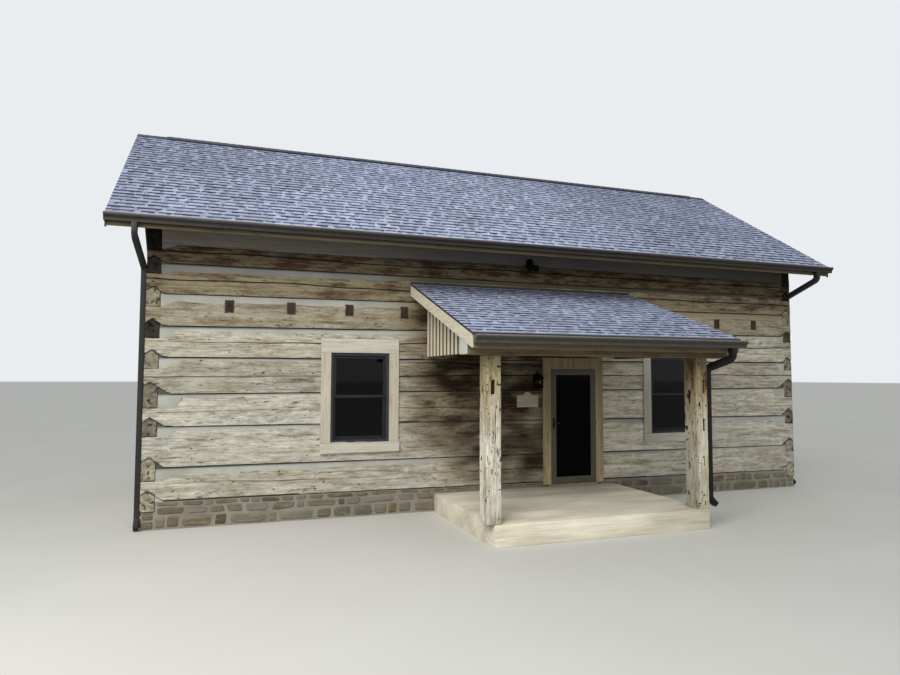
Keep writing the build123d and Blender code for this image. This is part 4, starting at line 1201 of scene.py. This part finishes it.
# The lantern's dark chimney, with a smoky pane in the middle of three sides
lantern_low, lantern_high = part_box("wall_lantern")
roof_half = (lantern_high.x - lantern_low.x) / 2
lantern_x, lantern_y = lantern_low.x + roof_half, lantern_low.y + roof_half
glass_edge = 0.001
liner_half = 0.046
liner_low, liner_high = lantern_low.z + 0.019, lantern_low.z + 0.174
pane_half = 0.03
pane_out = liner_half + 0.002
pane_low, pane_high = lantern_low.z + 0.085, lantern_low.z + 0.135
liner = board(
    (lantern_x - liner_half, lantern_y - liner_half, liner_low),
    (lantern_x + liner_half, lantern_y + liner_half, liner_high),
)
front_pane = board(
    (lantern_x - pane_half, lantern_y - pane_out, pane_low),
    (lantern_x + pane_half, lantern_y - pane_half, pane_high), glass_edge,
)
side_panes = board(
    (lantern_x - pane_out, lantern_y - pane_half, pane_low),
    (lantern_x + pane_out, lantern_y + pane_half, pane_high), glass_edge,
)
show("lantern_liner", [liner], lantern_metal)
show("lantern_panes", [front_pane, side_panes], lantern_pane)

# A zinc cap on the left end of the porch beam
beam_low, beam_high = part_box("porch_beam")
cap_sheet = 0.004
cap_inset = 0.006
cap_edge = 0.001
cap = board(
    (beam_low.x - cap_sheet, beam_low.y + cap_inset, beam_low.z + cap_inset),
    (beam_low.x, beam_high.y - cap_inset, beam_high.z - cap_inset), cap_edge,
)
show("beam_cap", [cap], zinc)

# Porch posts: old timbers with deep cracks and dark mortises
post_edge = 0.012
post_steps = ((z_axis, 0.04), (x_axis, 0.02), (y_axis, 0.025))
post_wave = 0.004
post_chip = 0.003
post_sink = 0.003
post_crack = 0.010
post_crack_width = 0.035
mortise_depth = 0.03
right_post_left = min(point.x for point in cad_points("porch_posts") if point.x > 0)


def worn_post(solid):
    """A post with cracks along it, and its seams: cracks, holes and mortises."""
    low, high = extent(solid)
    bevel(solid, post_edge)
    for axis, step in post_steps:
        slice_up(solid, directions[axis], even_places(low[axis], high[axis], step))
    solid.normal_update()
    seed = to_right * chance.uniform(0, 20)
    seams = []
    for vert in solid.verts:
        spot = vert.co + seed
        waves = post_wave * grain_at(spot, z_axis, 1.3, 4) + post_chip * grain_at(spot, z_axis, 6, 14)
        deep = max(0, 1 - abs(grain_at(spot, z_axis, 0.6, 8)) / post_crack_width)
        hole = 0.8 if grain_at(spot, z_axis, 9, 17) > 0.5 else 0
        inside = min(min(vert.co[axis] - low[axis], high[axis] - vert.co[axis]) for axis in (x_axis, y_axis))
        seams.append(max(0.8 * deep, hole, 1 if inside > mortise_depth else 0))
        vert.co += vert.normal * (waves - post_sink - post_crack * deep)
    return taken(solid), seams


def post_tone(number, point):
    """Posts are browner and darker towards their tops. The right one's left side is in the shade."""
    brown = 1.1 * smooth_step(point.z, 1.3, 2.4)
    light = -0.12 * smooth_step(point.z, 1.9, 2.5)
    if point.x > 0:
        brown += 0.2
        light -= 0.05 + 0.33 * (1 - smooth_step(point.x, right_post_left, right_post_left + 0.03))
    return brown, light, 0


shapes, seams = zip(*[worn_post(solid) for solid in solids("porch_posts")])
show("porch_posts_worn", shapes, post_wood, ("porch_posts",), tones=post_tone, seams=seams)

# Window casings: boards that butt at the corners, with a hairline between them
board_gap = 0.0015
casing_out = 0.03
head_height = 0.225
side_width = 0.16
sill_height = 0.16
sill_out = 0.055
sill_longer = 0.01


def wall_board(left, right, bottom, top, face, reach):
    """A board on a wall's face, which stands out of it by its reach along Y."""
    near, far = sorted((face, face + reach))
    return board((left, near, bottom), (right, far, top))


flat_boards, upright_boards = [], []
for solid in solids("window_casings"):
    low, high = extent(solid)
    solid.free()
    face, out = (front_face, -1) if low.y < 0 else (back_face, 1)
    left, right = low.x + sill_longer, high.x - sill_longer
    sill_top, head_low = low.z + sill_height, high.z - head_height
    flat_boards.append(wall_board(left, right, head_low, high.z, face, out * casing_out))
    flat_boards.append(wall_board(low.x, high.x, low.z, sill_top, face, out * sill_out))
    bottom, top = sill_top + board_gap, head_low - board_gap
    for first, last in ((left, left + side_width), (right - side_width, right)):
        upright_boards.append(wall_board(first, last, bottom, top, face, out * casing_out))
show("window_casings_flat", flat_boards, trim_x, ("window_casings",))
show("window_casings_upright", upright_boards, trim_z)

# Gable walls: lapped boards on the panels
gable_board = 0.19
gable_lap = 0.015
gable_gap = 0.002
gable_butt = 0.018
gable_top = 0.008
least_board = 0.05
peak_gap = 0.01
rake_gap = 0.004
sill_gap = 0.002
dress("gable_walls", inner_y)
gable_low, gable_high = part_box("gable_walls")
gable_middle = (front_face + back_face) / 2
eave_height = max(point.z for point in cad_points("gable_walls") if abs(point.y - front_face) < weld)
roof_slope = (gable_high.z - eave_height) / (gable_middle - front_face)
lapped = []
for x, out in ((left_face, -1), (right_face, 1)):
    bottom = gable_low.z + sill_gap
    while bottom < gable_high.z - least_board:
        top = min(bottom + gable_board + gable_lap, gable_high.z - peak_gap)
        corners = []
        for height, reach in ((bottom, gable_butt), (top, gable_top)):
            inset = max(0, (height - eave_height) / roof_slope) + rake_gap
            first, last = front_face + inset, back_face - inset
            near, far = x + out * gable_gap, x + out * reach
            corners += [(near, first, height), (far, first, height)]
            corners += [(far, last, height), (near, last, height)]
        lapped.append(turned(block(corners)) if out < 0 else block(corners))
        bottom += gable_board
show("gable_boards", lapped, side_log_wood)

# The stage
stage_reach = 300
stage_corners = [(x * stage_reach, y * stage_reach, 0) for x, y in ((-1, -1), (1, -1), (1, 1), (-1, 1))]
floor_mesh = bpy.data.meshes.new("stage_floor")
floor_mesh.from_pydata(stage_corners, [], [[0, 1, 2, 3]])
floor = link("stage_floor", floor_mesh)
floor_look = Finish("stage_floor")
floor_cloud = floor_look.level(floor_look.noise(floor_look.spot, 0.4, 3), 0.3, 0.7)
floor_color = floor_look.mix(floor_cloud, (0.60, 0.59, 0.56), (0.63, 0.62, 0.59))
floor_mesh.materials.append(floor_look.end(floor_color, 0.9))

# The world: light from the sky, and a plain background for camera, mirrored and transmitted rays
world = bpy.data.worlds.new("studio")
world.use_nodes = True
bpy.context.scene.world = world
studio = Nodes(world.node_tree)
sky = studio.tree.nodes["Background"]
studio.fill(sky, {"Color": (0.86, 0.93, 1.0), "Strength": 0.48})
plain = studio.put("ShaderNodeBackground", {"Color": (0.86, 0.89, 0.92), "Strength": 0.95})
rays = studio.put("ShaderNodeLightPath", {})
seen_rays = [rays[kind] for kind in ("Is Camera Ray", "Is Glossy Ray", "Is Transmission Ray")]
backdrop = {0: studio.most(seen_rays), 1: sky.outputs["Background"], 2: plain["Background"]}
chosen = studio.put("ShaderNodeMixShader", backdrop)["Shader"]
studio.fill(studio.tree.nodes["World Output"], {"Surface": chosen})

# A large soft lamp from the left, and a soft sun
lamp_data = bpy.data.lights.new("left_lamp", "AREA")
lamp_data.energy = 1000
lamp_data.shape = "DISK"
lamp_data.size = 7
lamp_data.color = (1.0, 0.98, 0.94)
lamp = link("left_lamp", lamp_data)
lamp.location = (-9.5, -11.5, 8.5)
lamp_target = Vector((-1.5, front_face, 1.8))
lamp.rotation_euler = (lamp_target - lamp.location).to_track_quat("-Z", "Y").to_euler()

sun_data = bpy.data.lights.new("soft_sun", "SUN")
sun_data.energy = 1.05
sun_data.angle = radians(25)
sun_data.color = (1.0, 0.96, 0.88)
sun = link("soft_sun", sun_data)
sun.rotation_euler = (radians(48), 0, radians(-28))

# The camera stands where the photo was taken, as the fit of its perspective says
camera_place = (-5.202, -12.700, 2.249)
camera_tilt, camera_roll, camera_turn = 0.0596, -0.0027, -0.3432
camera_data = bpy.data.cameras.new("camera")
camera_data.sensor_width = 36
camera_data.lens = 26.58
camera = link("camera", camera_data)
camera.location = camera_place
camera.rotation_euler = (pi / 2 + camera_tilt, camera_roll, camera_turn)
bpy.context.scene.camera = camera
bpy.context.scene.view_settings.view_transform = "Standard"
